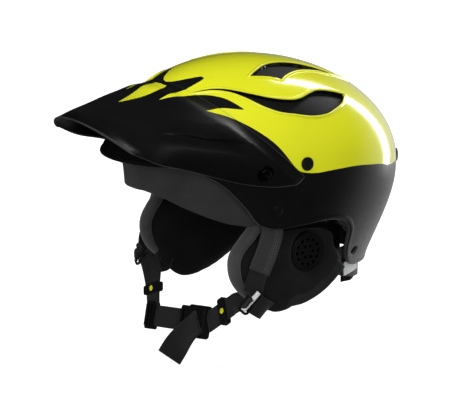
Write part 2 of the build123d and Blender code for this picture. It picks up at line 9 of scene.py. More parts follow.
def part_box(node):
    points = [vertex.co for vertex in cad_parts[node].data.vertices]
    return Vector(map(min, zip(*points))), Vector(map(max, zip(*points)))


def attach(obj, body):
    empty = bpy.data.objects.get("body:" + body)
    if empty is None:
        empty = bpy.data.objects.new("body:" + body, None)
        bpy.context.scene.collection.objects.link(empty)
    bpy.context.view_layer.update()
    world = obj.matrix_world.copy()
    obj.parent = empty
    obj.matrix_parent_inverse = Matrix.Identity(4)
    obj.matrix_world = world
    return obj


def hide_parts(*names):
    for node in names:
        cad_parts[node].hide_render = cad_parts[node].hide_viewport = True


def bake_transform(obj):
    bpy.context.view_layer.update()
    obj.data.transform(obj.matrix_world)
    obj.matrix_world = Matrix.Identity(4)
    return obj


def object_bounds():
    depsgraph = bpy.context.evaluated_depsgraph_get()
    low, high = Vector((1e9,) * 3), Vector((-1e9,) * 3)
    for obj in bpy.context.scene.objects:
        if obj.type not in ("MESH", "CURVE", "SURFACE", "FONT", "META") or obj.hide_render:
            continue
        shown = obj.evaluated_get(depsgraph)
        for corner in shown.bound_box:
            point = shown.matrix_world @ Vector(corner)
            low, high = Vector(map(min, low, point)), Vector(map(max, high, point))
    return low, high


# Water-sports helmet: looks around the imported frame. Lengths in this file are millimetres, in the
# part's own frame (+Z up, front towards -Y, wearer's left towards +X); meshes are written in metres.

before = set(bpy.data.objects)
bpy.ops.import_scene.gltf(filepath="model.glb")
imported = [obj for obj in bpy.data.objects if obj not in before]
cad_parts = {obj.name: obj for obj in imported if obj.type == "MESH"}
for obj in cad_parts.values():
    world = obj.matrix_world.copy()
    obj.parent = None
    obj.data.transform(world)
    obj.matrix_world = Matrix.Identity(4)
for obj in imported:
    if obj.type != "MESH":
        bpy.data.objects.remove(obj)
cad_low, cad_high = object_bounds()
MM = 0.001


def box_mm(node):
    """Lowest and highest corner of a CAD node in millimetres."""
    low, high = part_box(node)
    return np.array(low) / MM, np.array(high) / MM


# ---------------------------------------------------------------- driving sizes, from the frame
shell_low, shell_high = box_mm("outer_shell")
visor_low, visor_high = box_mm("visor")
HALF_WIDTH = shell_high[0]
HALF_LENGTH = 139.0
CROWN_HEIGHT = shell_high[2]
CROWN_LEAN = -20.0
SIDE_TUCK = 32.0
FRONT_TUCK = 25.0
REAR_TUCK = 27.0
LOW_LEVEL = 105.0
BRIM_FLARE = 14.0
SHELL_WALL = 3.0
LINER_INSET = 3.8
LINER_WALL = 16.6
BROW_INSET = 9.5
BROW_WALL = 10.9
PAD_INSET = 21.3
REAR_PAD_INSET = 22.9
CHART_X = 160.0
CHART_Y = 200.0

RIM = [(-165, 14), (-141, 12), (-117, 10), (-93, -1), (-73, -23), (-62, -38), (-50, -44.5), (-37, -46),
       (-20, -45), (-2, -43.8), (15, -44.5), (29, -48.7), (37, -57.5), (38.5, -67), (40, -78), (45, -89),
       (54, -98), (67, -104)]
NAPE_LINE = [(92, -108), (125, -108), (170, -106)]
BROW_EDGE = [(-150, -13), (-127, -17), (-106, -29), (-81, -40), (-57, -45)]
EAR_OUTLINE = [(-52, -50), (-70, -57), (-78, -71), (-78, -83), (-73, -97), (-54, -117), (-37, -128),
               (-11, -125), (14, -115), (36, -102), (40, -86), (31, -70), (25, -55), (4, -50), (-24, -49)]


# ---------------------------------------------------------------- small maths
def ease(t):
    """Smooth step from 0 to 1."""
    t = np.clip(t, 0.0, 1.0)
    return t * t * (3 - 2 * t)


def unit(v):
    """Rows scaled to length one."""
    v = np.asarray(v, float)
    return v / np.maximum(np.linalg.norm(v, axis=-1, keepdims=True), 1e-9)


def curve_through(points, steps=8, closed=False):
    """Catmull-Rom curve through the points."""
    p = np.asarray(points, float)
    if closed:
        p = np.vstack([p[-1], p, p[0], p[1]])
    else:
        p = np.vstack([2 * p[0] - p[1], p, 2 * p[-1] - p[-2]])
    t = np.linspace(0, 1, steps, endpoint=False)[:, None]
    out = []
    for a, b, c, d in zip(p, p[1:], p[2:], p[3:]):
        out.append(0.5 * (2 * b + (c - a) * t + (2 * a - 5 * b + 4 * c - d) * t ** 2
                          + (3 * b - a - 3 * c + d) * t ** 3))
    if not closed:
        out.append(p[-2][None])
    return np.vstack(out)


def outline(*runs):
    """Closed outline from smooth runs that meet at sharp corners."""
    return np.vstack([curve_through(run)[:-1] for run in runs])


def inside_distance(points, polygon, reach=60.0):
    """Distance to the outline, positive inside; points far outside its box just get -reach."""
    result = np.full(len(points), -reach)
    near = np.all((points > polygon.min(0) - reach) & (points < polygon.max(0) + reach), axis=1)
    rows = np.nonzero(near)[0]
    a = polygon
    b = np.roll(polygon, -1, 0)
    ab = b - a
    length2 = np.maximum((ab ** 2).sum(1), 1e-12)
    for start in range(0, len(rows), 4000):
        part = rows[start:start + 4000]
        p = points[part][:, None, :]
        t = np.clip(((p - a) * ab).sum(2) / length2, 0, 1)
        gap = np.sqrt((((a + t[..., None] * ab) - p) ** 2).sum(2).min(1))
        py = p[..., 1]
        crosses = (a[:, 1] > py) != (b[:, 1] > py)
        rise = np.where(np.abs(ab[:, 1]) < 1e-12, 1e-12, ab[:, 1])
        where = a[:, 0] + (py - a[:, 1]) / rise * ab[:, 0]
        hits = (crosses & (p[..., 0] < where)).sum(1)
        result[part] = np.where(hits % 2 == 1, gap, -gap)
    return result


# ---------------------------------------------------------------- head form
def polar(uv):
    """Distance from the crown and plan angle of grid points."""
    across = uv[:, 0] * np.sqrt(1 - 0.4 * uv[:, 1] ** 2)
    along = uv[:, 1] * np.sqrt(1 - 0.4 * uv[:, 0] ** 2)
    return 1.8 * np.hypot(across, along), np.arctan2(along, across)


def dome(uv, inset=0.0, flare=0.0):
    """Points of the head form."""
    reach, phi = polar(uv)
    tau = np.minimum(reach, 1) * math.pi / 2
    high = np.stack([(HALF_WIDTH - inset) * np.sin(tau) * np.cos(phi),
                     CROWN_LEAN * np.cos(tau) + (HALF_LENGTH - inset) * np.sin(tau) * np.sin(phi),
                     (CROWN_HEIGHT - inset) * np.cos(tau)], 1)
    over = np.maximum(reach - 1, 0)
    z = -CROWN_HEIGHT * math.pi / 2 * over
    depth = -z / LOW_LEVEL
    half = HALF_WIDTH - SIDE_TUCK * depth ** 2 - inset
    front = HALF_LENGTH - FRONT_TUCK * depth ** 2 - inset
    back = HALF_LENGTH - REAR_TUCK * ease((-z - 20) / 95) - inset
    lean = -CROWN_LEAN * math.pi / 2 * over * np.exp(-over / 0.1)
    low = np.stack([half * np.cos(phi), np.where(phi < 0, front, back) * np.sin(phi) + lean, z], 1)
    points = np.where((reach > 1)[:, None], low, high)
    points[:, 1] -= flare * ease((40 - points[:, 2]) / 28) * ease((-np.sin(phi) - 0.72) / 0.28)
    return points


def chart_of(points):
    """Unrolled plan coordinates of points near the head form, about to scale at the top."""
    x, y, z = points.T
    v = np.stack([x / HALF_WIDTH, (y - CROWN_LEAN * z / CROWN_HEIGHT) / HALF_LENGTH, z / CROWN_HEIGHT], 1)
    v = unit(v)
    reach = np.arccos(np.clip(v[:, 2], -1, 1)) / (math.pi / 2)
    phi = np.arctan2(v[:, 1], v[:, 0])
    low = z < 0
    reach = np.where(low, 1 - z / (CROWN_HEIGHT * math.pi / 2), reach)
    return np.stack([CHART_X * reach * np.cos(phi), CHART_Y * reach * np.sin(phi)], 1)


def chart(uv):
    """Unrolled plan coordinates of grid points of the head form."""
    reach, phi = polar(uv)
    return np.stack([CHART_X * reach * np.cos(phi), CHART_Y * reach * np.sin(phi)], 1)


def side_x(y, z):
    """Half width of the head form at a station and a height."""
    if z >= 0:
        lean = y - CROWN_LEAN * z / CROWN_HEIGHT
        return HALF_WIDTH * math.sqrt(1 - (z / CROWN_HEIGHT) ** 2 - (lean / HALF_LENGTH) ** 2)
    depth = -z / LOW_LEVEL
    half = HALF_WIDTH - SIDE_TUCK * depth ** 2
    front = HALF_LENGTH - FRONT_TUCK * depth ** 2
    back = HALF_LENGTH - REAR_TUCK * float(ease((-z - 20) / 95))
    return half * math.sqrt(1 - (y / (front if y < 0 else back)) ** 2)


def side_frame(side, y, z):
    """Point and outward normal of the shell's side."""
    step = 0.5
    slope_y = (side_x(y + step, z) - side_x(y - step, z)) / (2 * step)
    slope_z = (side_x(y, z + step) - side_x(y, z - step)) / (2 * step)
    return np.array([side * side_x(y, z), y, z]), unit([side, -slope_y, -slope_z])


# ---------------------------------------------------------------- sheets: grids that can be cut along curves
class Sheet:
    """A triangle sheet over a flat grid, with named marks on its triangles."""

    def __init__(self, columns, rows, u_range=(-1, 1), v_range=(-1, 1)):
        u, v = np.meshgrid(np.linspace(*u_range, columns), np.linspace(*v_range, rows), indexing="ij")
        self.uv = np.stack([u.ravel(), v.ravel()], 1)
        i, j = np.meshgrid(np.arange(columns - 1), np.arange(rows - 1), indexing="ij")
        a = (i * rows + j).ravel()
        b = a + rows
        flip = ((i + j) % 2 == 0).ravel()[:, None]
        first = np.where(flip, np.stack([a, b, b + 1], 1), np.stack([a, b, a + 1], 1))
        second = np.where(flip, np.stack([a, b + 1, a + 1], 1), np.stack([b, b + 1, a + 1], 1))
        self.tris = np.vstack([first, second])
        self.marks = {}

    def cut(self, field, mark=None, keep=False):
        """Split triangles along field = 0. The positive side gets the mark, or only it is kept."""
        values = field(self.uv)
        values = np.where(np.abs(values) < 1e-6, 1e-6, values)
        inside = values > 0
        count = inside[self.tris].sum(1)
        whole = (count == 0) | (count == 3)
        tris = [self.tris[whole]]
        parents = [np.nonzero(whole)[0]]
        sides = [inside[self.tris[whole][:, 0]]]
        new_uv = []
        seen = {}
        made, made_from, made_side = [], [], []

        def crossing(i, j):
            key = (i, j) if i < j else (j, i)
            if key not in seen:
                t = values[i] / (values[i] - values[j])
                seen[key] = len(self.uv) + len(new_uv)
                new_uv.append(self.uv[i] + t * (self.uv[j] - self.uv[i]))
            return seen[key]

        for index in np.nonzero(~whole)[0]:
            a, b, c = self.tris[index]
            if inside[a] == inside[b]:
                a, b, c = c, a, b
            elif inside[a] == inside[c]:
                a, b, c = b, c, a
            p = crossing(a, b)
            q = crossing(a, c)
            made += [(a, p, q), (p, b, c), (p, c, q)]
            made_from += [index] * 3
            made_side += [inside[a], inside[b], inside[b]]
        if made:
            tris.append(np.array(made))
            parents.append(np.array(made_from))
            sides.append(np.array(made_side))
            self.uv = np.vstack([self.uv, new_uv])
        self.tris = np.vstack(tris)
        parents = np.concatenate(parents)
        sides = np.concatenate(sides)
        self.marks = {name: marks[parents] for name, marks in self.marks.items()}
        if mark:
            self.marks[mark] = sides
        if keep:
            self._keep(sides)

    def refine(self, near):
        """Split the edges of every triangle that has a corner in near, matched across neighbours."""
        chosen = near[self.tris].any(1)
        n = len(self.uv)
        pairs = np.stack([self.tris, np.roll(self.tris, -1, 1)], 2)
        keys = pairs.min(2) * n + pairs.max(2)
        split = np.unique(keys[chosen])
        place = np.searchsorted(split, keys)
        place = np.minimum(place, len(split) - 1)
        hit = split[place] == keys
        middle = np.where(hit, n + place, -1)
        self.uv = np.vstack([self.uv, (self.uv[split // n] + self.uv[split % n]) / 2])
        count = hit.sum(1)
        made = [self.tris[count == 0]]
        rows = count == 3
        (a, b, c), (p, q, r) = self.tris[rows].T, middle[rows].T
        for corners in ((a, p, r), (p, b, q), (r, q, c), (p, q, r)):
            made.append(np.stack(corners, 1))
        for turn in range(3):
            t = np.roll(self.tris, -turn, 1)
            m = np.roll(middle, -turn, 1)
            h = np.roll(hit, -turn, 1)
            rows = (count == 1) & h[:, 0]
            (a, b, c), p = t[rows].T, m[rows, 0]
            made += [np.stack([a, p, c], 1), np.stack([p, b, c], 1)]
            rows = (count == 2) & ~h[:, 2]
            (a, b, c), p, q = t[rows].T, m[rows, 0], m[rows, 1]
            made += [np.stack([p, b, q], 1), np.stack([a, p, q], 1), np.stack([a, q, c], 1)]
        self.tris = np.vstack(made)
        self.marks = {}

    def _keep(self, chosen):
        self.tris = self.tris[chosen]
        self.marks = {name: marks[chosen] for name, marks in self.marks.items()}
        used = np.unique(self.tris)
        renumber = np.full(len(self.uv), -1)
        renumber[used] = np.arange(len(used))
        self.uv = self.uv[used]
        self.tris = renumber[self.tris]


def vertex_normals(points, tris):
    """Area-weighted vertex normals."""
    a, b, c = points[tris[:, 0]], points[tris[:, 1]], points[tris[:, 2]]
    face = np.cross(b - a, c - a)
    total = np.zeros_like(points)
    for k in range(3):
        np.add.at(total, tris[:, k], face)
    return unit(total)


def closed_sheet(outer, inner, tris, ring=5, reach=99.0, square=2.0):
    """Join two copies of a sheet by rounded edges that stand out by half the wall, or by reach.
    Returns points, faces and, per face, its kind: the outer triangle's number, -1 edge, -2 inside."""
    n = len(outer)
    normals = vertex_normals(outer, tris)
    edges = np.vstack([tris[:, [0, 1]], tris[:, [1, 2]], tris[:, [2, 0]]])
    key = np.sort(edges, 1)
    _, first, counts = np.unique(key[:, 0] * (n + 1) + key[:, 1], return_index=True, return_counts=True)
    border = edges[first[counts == 1]]
    away = np.zeros_like(outer)
    side = unit(np.cross(outer[border[:, 1]] - outer[border[:, 0]], normals[border[:, 0]]))
    np.add.at(away, border[:, 0], side)
    np.add.at(away, border[:, 1], side)
    on_border = np.unique(border)
    out_dir = unit(away[on_border])
    middle = (outer[on_border] + inner[on_border]) / 2
    half = (outer[on_border] - inner[on_border]) / 2
    radius = np.minimum(np.linalg.norm(half, axis=1, keepdims=True), reach)
    points = [outer, inner]
    slot = np.full(n, -1)
    slot[on_border] = np.arange(len(on_border))
    chain = [lambda v: v]
    for k in range(1, ring):
        angle = math.pi * k / ring
        start = 2 * n + (k - 1) * len(on_border)
        share_across = math.copysign(abs(math.cos(angle)) ** (2 / square), math.cos(angle))
        share_out = math.sin(angle) ** (2 / square)
        points.append(middle + half * share_across + out_dir * radius * share_out)
        chain.append(lambda v, start=start: start + slot[v])
    chain.append(lambda v: v + n)
    faces = [tris, tris[:, ::-1] + n]
    kinds = [np.arange(len(tris)), np.full(len(tris), -2)]
    i, j = border[:, 0], border[:, 1]
    for here, there in zip(chain, chain[1:]):
        faces.append(np.stack([here(j), here(i), there(i)], 1))
        faces.append(np.stack([here(j), there(i), there(j)], 1))
        kinds += [np.full(len(border), -1)] * 2
    return np.vstack(points), np.vstack(faces), np.concatenate(kinds)


# ---------------------------------------------------------------- mesh objects
def mesh_object(name, points, faces, materials, kinds=None, smooth=True):
    """A new object from points in millimetres."""
    data = bpy.data.meshes.new(name)
    data.from_pydata((np.asarray(points) * MM).tolist(), [], [tuple(int(i) for i in f) for f in faces])
    for m in materials:
        data.materials.append(m)
    if kinds is not None:
        data.polygons.foreach_set("material_index", np.asarray(kinds, np.int32))
    data.polygons.foreach_set("use_smooth", [smooth] * len(data.polygons))
    data.update()
    obj = bpy.data.objects.new(name, data)
    bpy.context.scene.collection.objects.link(obj)
    return obj


def set_uv(obj, coordinates):
    """One UV pair per vertex, in millimetres along and across."""
    layer = obj.data.uv_layers.new(name="along")
    loops = np.zeros(len(obj.data.loops), np.int32)
    obj.data.loops.foreach_get("vertex_index", loops)
    layer.data.foreach_set("uv", np.asarray(coordinates)[loops].astype(np.float32).ravel())


def finish_piece(obj, body, slot, *nodes):
    """Attach a piece to its body and hide the CAD nodes it stands for. The slot is not used."""
    if nodes:
        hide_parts(*nodes)
    if body:
        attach(obj, body)
    return obj


def lathe(name, centre, normal, profile, materials, segments=48, hex_from=None):
    """A turned piece: profile is (radius, height) along the normal; rings from hex_from on are hexagons."""
    normal = unit(normal)
    u = unit(np.cross(normal, [0.0, 0.0, 1.0]))
    v = np.cross(normal, u)
    points, faces = [], []
    angles = np.linspace(0, 2 * math.pi, segments, endpoint=False)
    for k, (radius, height) in enumerate(profile):
        r = np.full(segments, float(radius))
        if hex_from is not None and k >= hex_from:
            r = r * math.cos(math.pi / 6) / np.cos((angles % (math.pi / 3)) - math.pi / 6)
        ring = np.outer(np.cos(angles) * r, u) + np.outer(np.sin(angles) * r, v)
        points.append(np.asarray(centre) + ring + normal * height)
    for k in range(len(profile) - 1):
        for s in range(segments):
            t = (s + 1) % segments
            faces.append((k * segments + s, k * segments + t, (k + 1) * segments + t, (k + 1) * segments + s))
    faces.append(tuple(reversed(range(segments))))
    faces.append(tuple((len(profile) - 1) * segments + s for s in range(segments)))
    obj = mesh_object(name, np.vstack(points), faces, materials)
    return obj


def join(objects, name):
    """Several meshes as one piece."""
    bpy.ops.object.select_all(action="DESELECT")
    for o in objects:
        o.select_set(True)
    bpy.context.view_layer.objects.active = objects[0]
    bpy.ops.object.join()
    objects[0].name = name
    objects[0].data.name = name
    return objects[0]


def soften_edges(obj, width, segments=3, angle=35):
    """Rounded edges by a bevel, with even shading."""
    bevel = obj.modifiers.new("soft_edges", "BEVEL")
    bevel.width = width * MM
    bevel.segments = segments
    bevel.limit_method = "ANGLE"
    bevel.angle_limit = math.radians(angle)
    bevel.harden_normals = False
    weighted = obj.modifiers.new("even_normals", "WEIGHTED_NORMAL")
    weighted.keep_sharp = False


# ---------------------------------------------------------------- materials
class Nodes:
    """Short calls for building a node tree."""

    def __init__(self, name):
        self.material = bpy.data.materials.new(name)
        self.material.use_nodes = True
        self.tree = self.material.node_tree
        self.shader = self.tree.nodes["Principled BSDF"]

    def add(self, kind, **values):
        node = self.tree.nodes.new(kind)
        for key, value in values.items():
            if key in node.inputs:
                node.inputs[key].default_value = value
            else:
                setattr(node, key, value)
        return node

    def link(self, source, output, target, socket):
        self.tree.links.new(source.outputs[output], target.inputs[socket])

    def set(self, **values):
        for key, value in values.items():
            self.shader.inputs[key.replace("_", " ")].default_value = value

    def coordinates(self, output="Object"):
        return self.add("ShaderNodeTexCoord"), output

    def noise(self, scale, detail=4.0, roughness=0.55, output="Object"):
        coords, out = self.coordinates(output)
        node = self.add("ShaderNodeTexNoise", Scale=scale, Detail=detail, Roughness=roughness)
        self.link(coords, out, node, "Vector")
        return node

    def ramp(self, source, output, stops):
        node = self.add("ShaderNodeValToRGB")
        while len(node.color_ramp.elements) < len(stops):
            node.color_ramp.elements.new(0.5)
        for element, (place, colour) in zip(node.color_ramp.elements, stops):
            element.position = place
            element.color = colour if len(colour) == 4 else (*colour, 1.0)
        self.link(source, output, node, "Fac")
        return node

    def bump(self, source, output, distance, strength=1.0, below=None):
        node = self.add("ShaderNodeBump", Strength=strength, Distance=distance)
        self.link(source, output, node, "Height")
        if below is not None:
            self.link(below, "Normal", node, "Normal")
        return node

    def value_range(self, source, output, low, high):
        node = self.add("ShaderNodeMapRange")
        node.inputs["To Min"].default_value = low
        node.inputs["To Max"].default_value = high
        self.link(source, output, node, "Value")
        return node


def paint(name, dark, light, rough, coat, grain=0.00001):
    """Sprayed gloss paint: faint tone drift, fine orange peel, clear coat."""
    n = Nodes(name)
    drift = n.noise(9.0, 2.0)
    colour = n.ramp(drift, "Fac", [(0.35, dark), (0.65, light)])
    n.link(colour, "Color", n.shader, "Base Color")
    wear = n.noise(60.0, 5.0)
    rough_map = n.value_range(wear, "Fac", rough * 0.8, rough * 1.3)
    n.link(rough_map, "Result", n.shader, "Roughness")
    peel = n.noise(900.0, 2.0)
    bump = n.bump(peel, "Fac", grain, 0.35)
    n.link(bump, "Normal", n.shader, "Normal")
    n.set(Coat_Weight=coat, Coat_Roughness=0.05, IOR=1.5)
    return n.material


def moulded(name, dark, light, rough, grain_scale=2600.0, grain=0.00004, coat=0.0):
    """Injection-moulded plastic with a fine spark-eroded grain."""
    n = Nodes(name)
    drift = n.noise(25.0, 4.0)
    colour = n.ramp(drift, "Fac", [(0.3, dark), (0.7, light)])
    n.link(colour, "Color", n.shader, "Base Color")
    scuff = n.noise(180.0, 6.0)
    rough_map = n.value_range(scuff, "Fac", rough - 0.08, rough + 0.1)
    n.link(rough_map, "Result", n.shader, "Roughness")
    grain_noise = n.noise(grain_scale, 3.0)
    bump = n.bump(grain_noise, "Fac", grain, 0.5)
    n.link(bump, "Normal", n.shader, "Normal")
    n.set(Coat_Weight=coat, IOR=1.45, Specular_IOR_Level=0.4)
    return n.material


def bead_foam(name):
    """Moulded expanded foam: pressed beads with thin seams."""
    n = Nodes(name)
    coords, out = n.coordinates()
    cells = n.add("ShaderNodeTexVoronoi", Scale=420.0, feature="DISTANCE_TO_EDGE")
    n.link(coords, out, cells, "Vector")
    seams = n.ramp(cells, "Distance", [(0.0, (0.0, 0.0, 0.0)), (0.12, (1.0, 1.0, 1.0))])
    tone = n.noise(40.0, 3.0)
    colour = n.ramp(tone, "Fac", [(0.3, (0.021, 0.021, 0.022)), (0.7, (0.030, 0.030, 0.031))])
    n.link(colour, "Color", n.shader, "Base Color")
    bump = n.bump(seams, "Color", 0.00008, 0.3)
    n.link(bump, "Normal", n.shader, "Normal")
    n.set(Roughness=0.78, Sheen_Weight=0.08, Specular_IOR_Level=0.35)
    return n.material


def cloth(name, dark, light, scale=1500.0, sheen=0.35, depth=0.00018):
    """Brushed knit: crossed ribs broken by fibre noise."""
    n = Nodes(name)
    coords, out = n.coordinates()
    waves = []
    for direction in ("X", "Y", "Z"):
        wave = n.add("ShaderNodeTexWave", Scale=scale / 6.0, Distortion=1.5, wave_type="BANDS",
                     bands_direction=direction)
        wave.inputs["Detail"].default_value = 1.0
        n.link(coords, out, wave, "Vector")
        waves.append(wave)
    first = n.add("ShaderNodeMath", operation="MULTIPLY")
    n.link(waves[0], "Fac", first, 0)
    n.link(waves[1], "Fac", first, 1)
    second = n.add("ShaderNodeMath", operation="ADD")
    n.link(first, "Value", second, 0)
    n.link(waves[2], "Fac", second, 1)
    fibre = n.noise(scale, 6.0, 0.7)
    fold = n.noise(35.0, 4.0)
    colour = n.ramp(fold, "Fac", [(0.3, dark), (0.72, light)])
    n.link(colour, "Color", n.shader, "Base Color")
    bump = n.bump(second, "Value", depth * 0.5, 0.45)
    fuzz = n.bump(fibre, "Fac", depth, 0.6, bump)
    n.link(fuzz, "Normal", n.shader, "Normal")
    n.set(Roughness=0.92, Sheen_Weight=sheen, Sheen_Roughness=0.5, Specular_IOR_Level=0.3)
    return n.material


def webbing_material(name, dark, light):
    """Woven strap: chevron ribs along the strap, from its own along and across coordinates in mm; painted shade
    darkens the weave's low points.
    """
    n = Nodes(name)
    coords = n.add("ShaderNodeTexCoord")
    split = n.add("ShaderNodeSeparateXYZ")
    n.link(coords, "UV", split, "Vector")

    def maths(operation, a, a_out, b, b_out=None):
        node = n.add("ShaderNodeMath", operation=operation)
        n.link(a, a_out, node, 0)
        if b_out is None:
            node.inputs[1].default_value = b
        else:
            n.link(b, b_out, node, 1)
        return node

    lean = maths("ABSOLUTE", split, "Y", 0.0)
    slanted = maths("ADD", split, "X", lean, "Value")
    weft = maths("MULTIPLY", slanted, "Value", 2 * math.pi / 1.5)
    warp = maths("MULTIPLY", split, "Y", 2 * math.pi / 1.25)
    weft_wave = maths("SINE", weft, "Value", 0.0)
    warp_wave = maths("SINE", warp, "Value", 0.0)
    weave = maths("MULTIPLY", weft_wave, "Value", warp_wave, "Value")
    height = n.value_range(weave, "Value", 0.0, 1.0)
    height.inputs["From Min"].default_value = -1.0
    # Painted shade: the colour darkens into the weave's dips and lightens on its ribs.
    weave_shade_tint = n.ramp(height, "Result", [(0.1, dark), (0.8, light)])
    n.link(weave_shade_tint, "Color", n.shader, "Base Color")
    fibre = n.noise(2500.0, 4.0)
    bump = n.bump(height, "Result", 0.0002, 0.7)
    fuzz = n.bump(fibre, "Fac", 0.0001, 0.4, bump)
    n.link(fuzz, "Normal", n.shader, "Normal")
    n.set(Roughness=0.75, Sheen_Weight=0.1, Specular_IOR_Level=0.35)
    return n.material


def metal(name, dark, light, rough, metallic=1.0):
    """Turned and plated metal."""
    n = Nodes(name)
    drift = n.noise(300.0, 5.0)
    colour = n.ramp(drift, "Fac", [(0.3, dark), (0.7, light)])
    n.link(colour, "Color", n.shader, "Base Color")
    rough_map = n.value_range(drift, "Fac", rough - 0.06, rough + 0.1)
    n.link(rough_map, "Result", n.shader, "Roughness")
    bump = n.bump(drift, "Fac", 0.00003, 0.3)
    n.link(bump, "Normal", n.shader, "Normal")
    n.set(Metallic=metallic)
    return n.material


YELLOW = paint("neon_yellow_paint", (0.66, 0.68, 0.012), (0.71, 0.73, 0.016), 0.16, 0.8)
BLACK_PAINT = paint("black_gloss_paint", (0.002, 0.002, 0.002), (0.003, 0.003, 0.0035), 0.10, 0.3)
BLACK_SHELL = moulded("black_satin_shell", (0.0035, 0.0035, 0.004), (0.005, 0.005, 0.0055), 0.36, coat=0.12)
PEAK_BLACK = moulded("peak_satin_black", (0.0025, 0.0025, 0.003), (0.004, 0.004, 0.0045), 0.40)
PEAK_UNDER = moulded("peak_underside_black", (0.002, 0.002, 0.002), (0.004, 0.004, 0.004), 0.6)
SHELL_INSIDE = moulded("shell_inside_black", (0.004, 0.004, 0.004), (0.007, 0.007, 0.007), 0.6)
FOAM = bead_foam("pressed_bead_foam")
PAD_CLOTH = cloth("black_pad_cloth", (0.004, 0.004, 0.004), (0.008, 0.008, 0.0085), sheen=0.05)
# Painted highlight: the ear pads' front roll is coloured light grey for the light on the pad's rounded front edge.
PAINTED_HIGHLIGHT_ROLL_CLOTH = cloth("roll_cloth_painted_highlight", (0.026, 0.026, 0.027), (0.046, 0.046, 0.048), sheen=0.22)
BAND_CLOTH = cloth("charcoal_band_cloth", (0.007, 0.007, 0.007), (0.013, 0.013, 0.0135), sheen=0.12)
BLACK_WEB = webbing_material("black_webbing", (0.004, 0.004, 0.004), (0.012, 0.012, 0.0125))
GREY_WEB = webbing_material("grey_webbing", (0.010, 0.010, 0.010), (0.040, 0.040, 0.041))
BUCKLE_BLACK = moulded("buckle_black", (0.004, 0.004, 0.0045), (0.007, 0.007, 0.0075), 0.38)
# On the strap rings' middle bar this light grey is painted glare that stands in for the highlight on black plastic.
RING_GREY = moulded("ring_light_grey", (0.55, 0.56, 0.57), (0.66, 0.67, 0.68), 0.4)
STITCH = cloth("pale_stitch_thread", (0.055, 0.055, 0.055), (0.09, 0.09, 0.09), sheen=0.1)
# Painted highlight: the rounded edge faces of the shell and peak get a lighter grey that stands in for the light
# they catch.
PAINTED_EDGE_HIGHLIGHT = moulded("painted_edge_highlight_grey", (0.030, 0.030, 0.031), (0.050, 0.050, 0.052), 0.35)
MESH_BLACK = moulded("mesh_black", (0.003, 0.003, 0.0035), (0.006, 0.006, 0.0065), 0.34)
CRADLE_BLACK = moulded("cradle_black", (0.003, 0.003, 0.003), (0.006, 0.006, 0.006), 0.5)
SCREW_BLACK = metal("blackened_screw", (0.035, 0.035, 0.037), (0.06, 0.06, 0.062), 0.34)
NUT_STEEL = metal("zinc_plated_steel", (0.45, 0.45, 0.46), (0.58, 0.58, 0.60), 0.35)
PLUG_BLACK = moulded("plug_rubber_black", (0.004, 0.004, 0.004), (0.007, 0.007, 0.007), 0.55)


# ---------------------------------------------------------------- side-view regions
def rim_region(lift):
    """Side-view outline of everything above the shell's rim."""
    edge = curve_through([(y, z + lift) for y, z in RIM])
    rest = [(y, z + lift) for y, z in NAPE_LINE] + [(170, 130), (-190, 130)]
    return np.vstack([edge, rest])


def side_field(polygon, inset=0.0, flare=0.0):
    """A field over the grid from a side-view outline, positive inside."""
    def field(uv):
        points = dome(uv, inset, flare)
        return inside_distance(points[:, 1:], polygon, 200.0)
    return field


# ---------------------------------------------------------------- paint and vents, in unrolled plan coordinates
PAINT_EDGE = [
    [(0, -77.5), (8, -74), (16, -65), (24, -53)],
    [(24, -53), (29, -56), (29, -76), (27, -90), (27.5, -101)],
    [(27.5, -101), (34, -89), (44, -72), (60, -58), (80, -50)],
    [(80, -50), (74, -59), (67, -69), (64.5, -81)],
    [(64.5, -81), (79, -69), (96, -58), (120, -45), (142, -38), (150, -33), (155, -18), (156, 4), (152, 45),
     (141, 98), (118, 152), (66, 198), (0, 213)],
]
BADGE_EDGE = [
    [(0, -120), (5, -112), (9.5, -103), (12, -94), (11.5, -87), (9, -82)],
    [(9, -82), (5, -82.5), (0, -82)],
]
SWEEP_EDGE = [
    [(34.5, -81), (41.5, -65), (50, -51.5), (66.5, -34), (77, -19), (82.5, -3), (82, 9), (77, 22), (72.5, 36),
     (72, 66)],
    [(72, 66), (84, 56), (94, 41), (100, 27), (101.5, 10), (98, -6), (92, -22), (82, -33), (69, -41), (57, -49),
     (46, -61), (34.5, -81)],
]
CRESCENT_EDGE = [
    [(47, -20), (40, -8), (33, 5), (29.5, 20), (29, 33), (31, 50), (35, 72), (32, 96)],
    [(32, 96), (39, 70), (40, 56), (41.5, 44), (45, 29), (52, 13), (58, 4)],
    [(58, 4), (55, 0), (51, -8), (47, -20)],
]


def symmetric_outline(runs):
    """A closed outline from runs on the left half, from centre front to centre back."""
    left = outline(*runs)
    right = left[::-1].copy()
    right[:, 0] *= -1
    return np.vstack([left, right])


paint_outline = symmetric_outline(PAINT_EDGE)
badge_outline = symmetric_outline(BADGE_EDGE)


def yellow_on(points_chart):
    """Positive where the paint is yellow."""
    main = inside_distance(points_chart, paint_outline, 400.0)
    badge = inside_distance(points_chart, badge_outline, 400.0)
    return np.maximum(main, badge)


def vent_distance(points_chart, runs):
    """Distance inside the nearer of the two mirrored vents."""
    left = outline(*runs)
    folded = np.stack([np.abs(points_chart[:, 0]), points_chart[:, 1]], 1)
    return inside_distance(folded, left, 60.0)


# ---------------------------------------------------------------- outer shell
LOBE_Y, LOBE_Z = 56.0, -84.0
LOBE_RADIUS = 4.0
RIM_ROUND = 1.55
VENT_LEVELS = [-2.8, -1.5, -0.5, 0.0, 0.7, 1.8]
VENT_HEIGHTS = [0.0, 1.1, 1.1, 0.1, -3.4, -5.2]
LIP_LEVELS = [RIM_ROUND, 2.6, 5.2, 6.2]
LIP_HEIGHTS = [0.0, 0.55, 0.55, 0.0]
PEAK_SEAT_LINE = -24.0


def vents(uv):
    """Distance inside the nearest vent."""
    points = chart(uv)
    return np.maximum(vent_distance(points, SWEEP_EDGE), vent_distance(points, CRESCENT_EDGE))


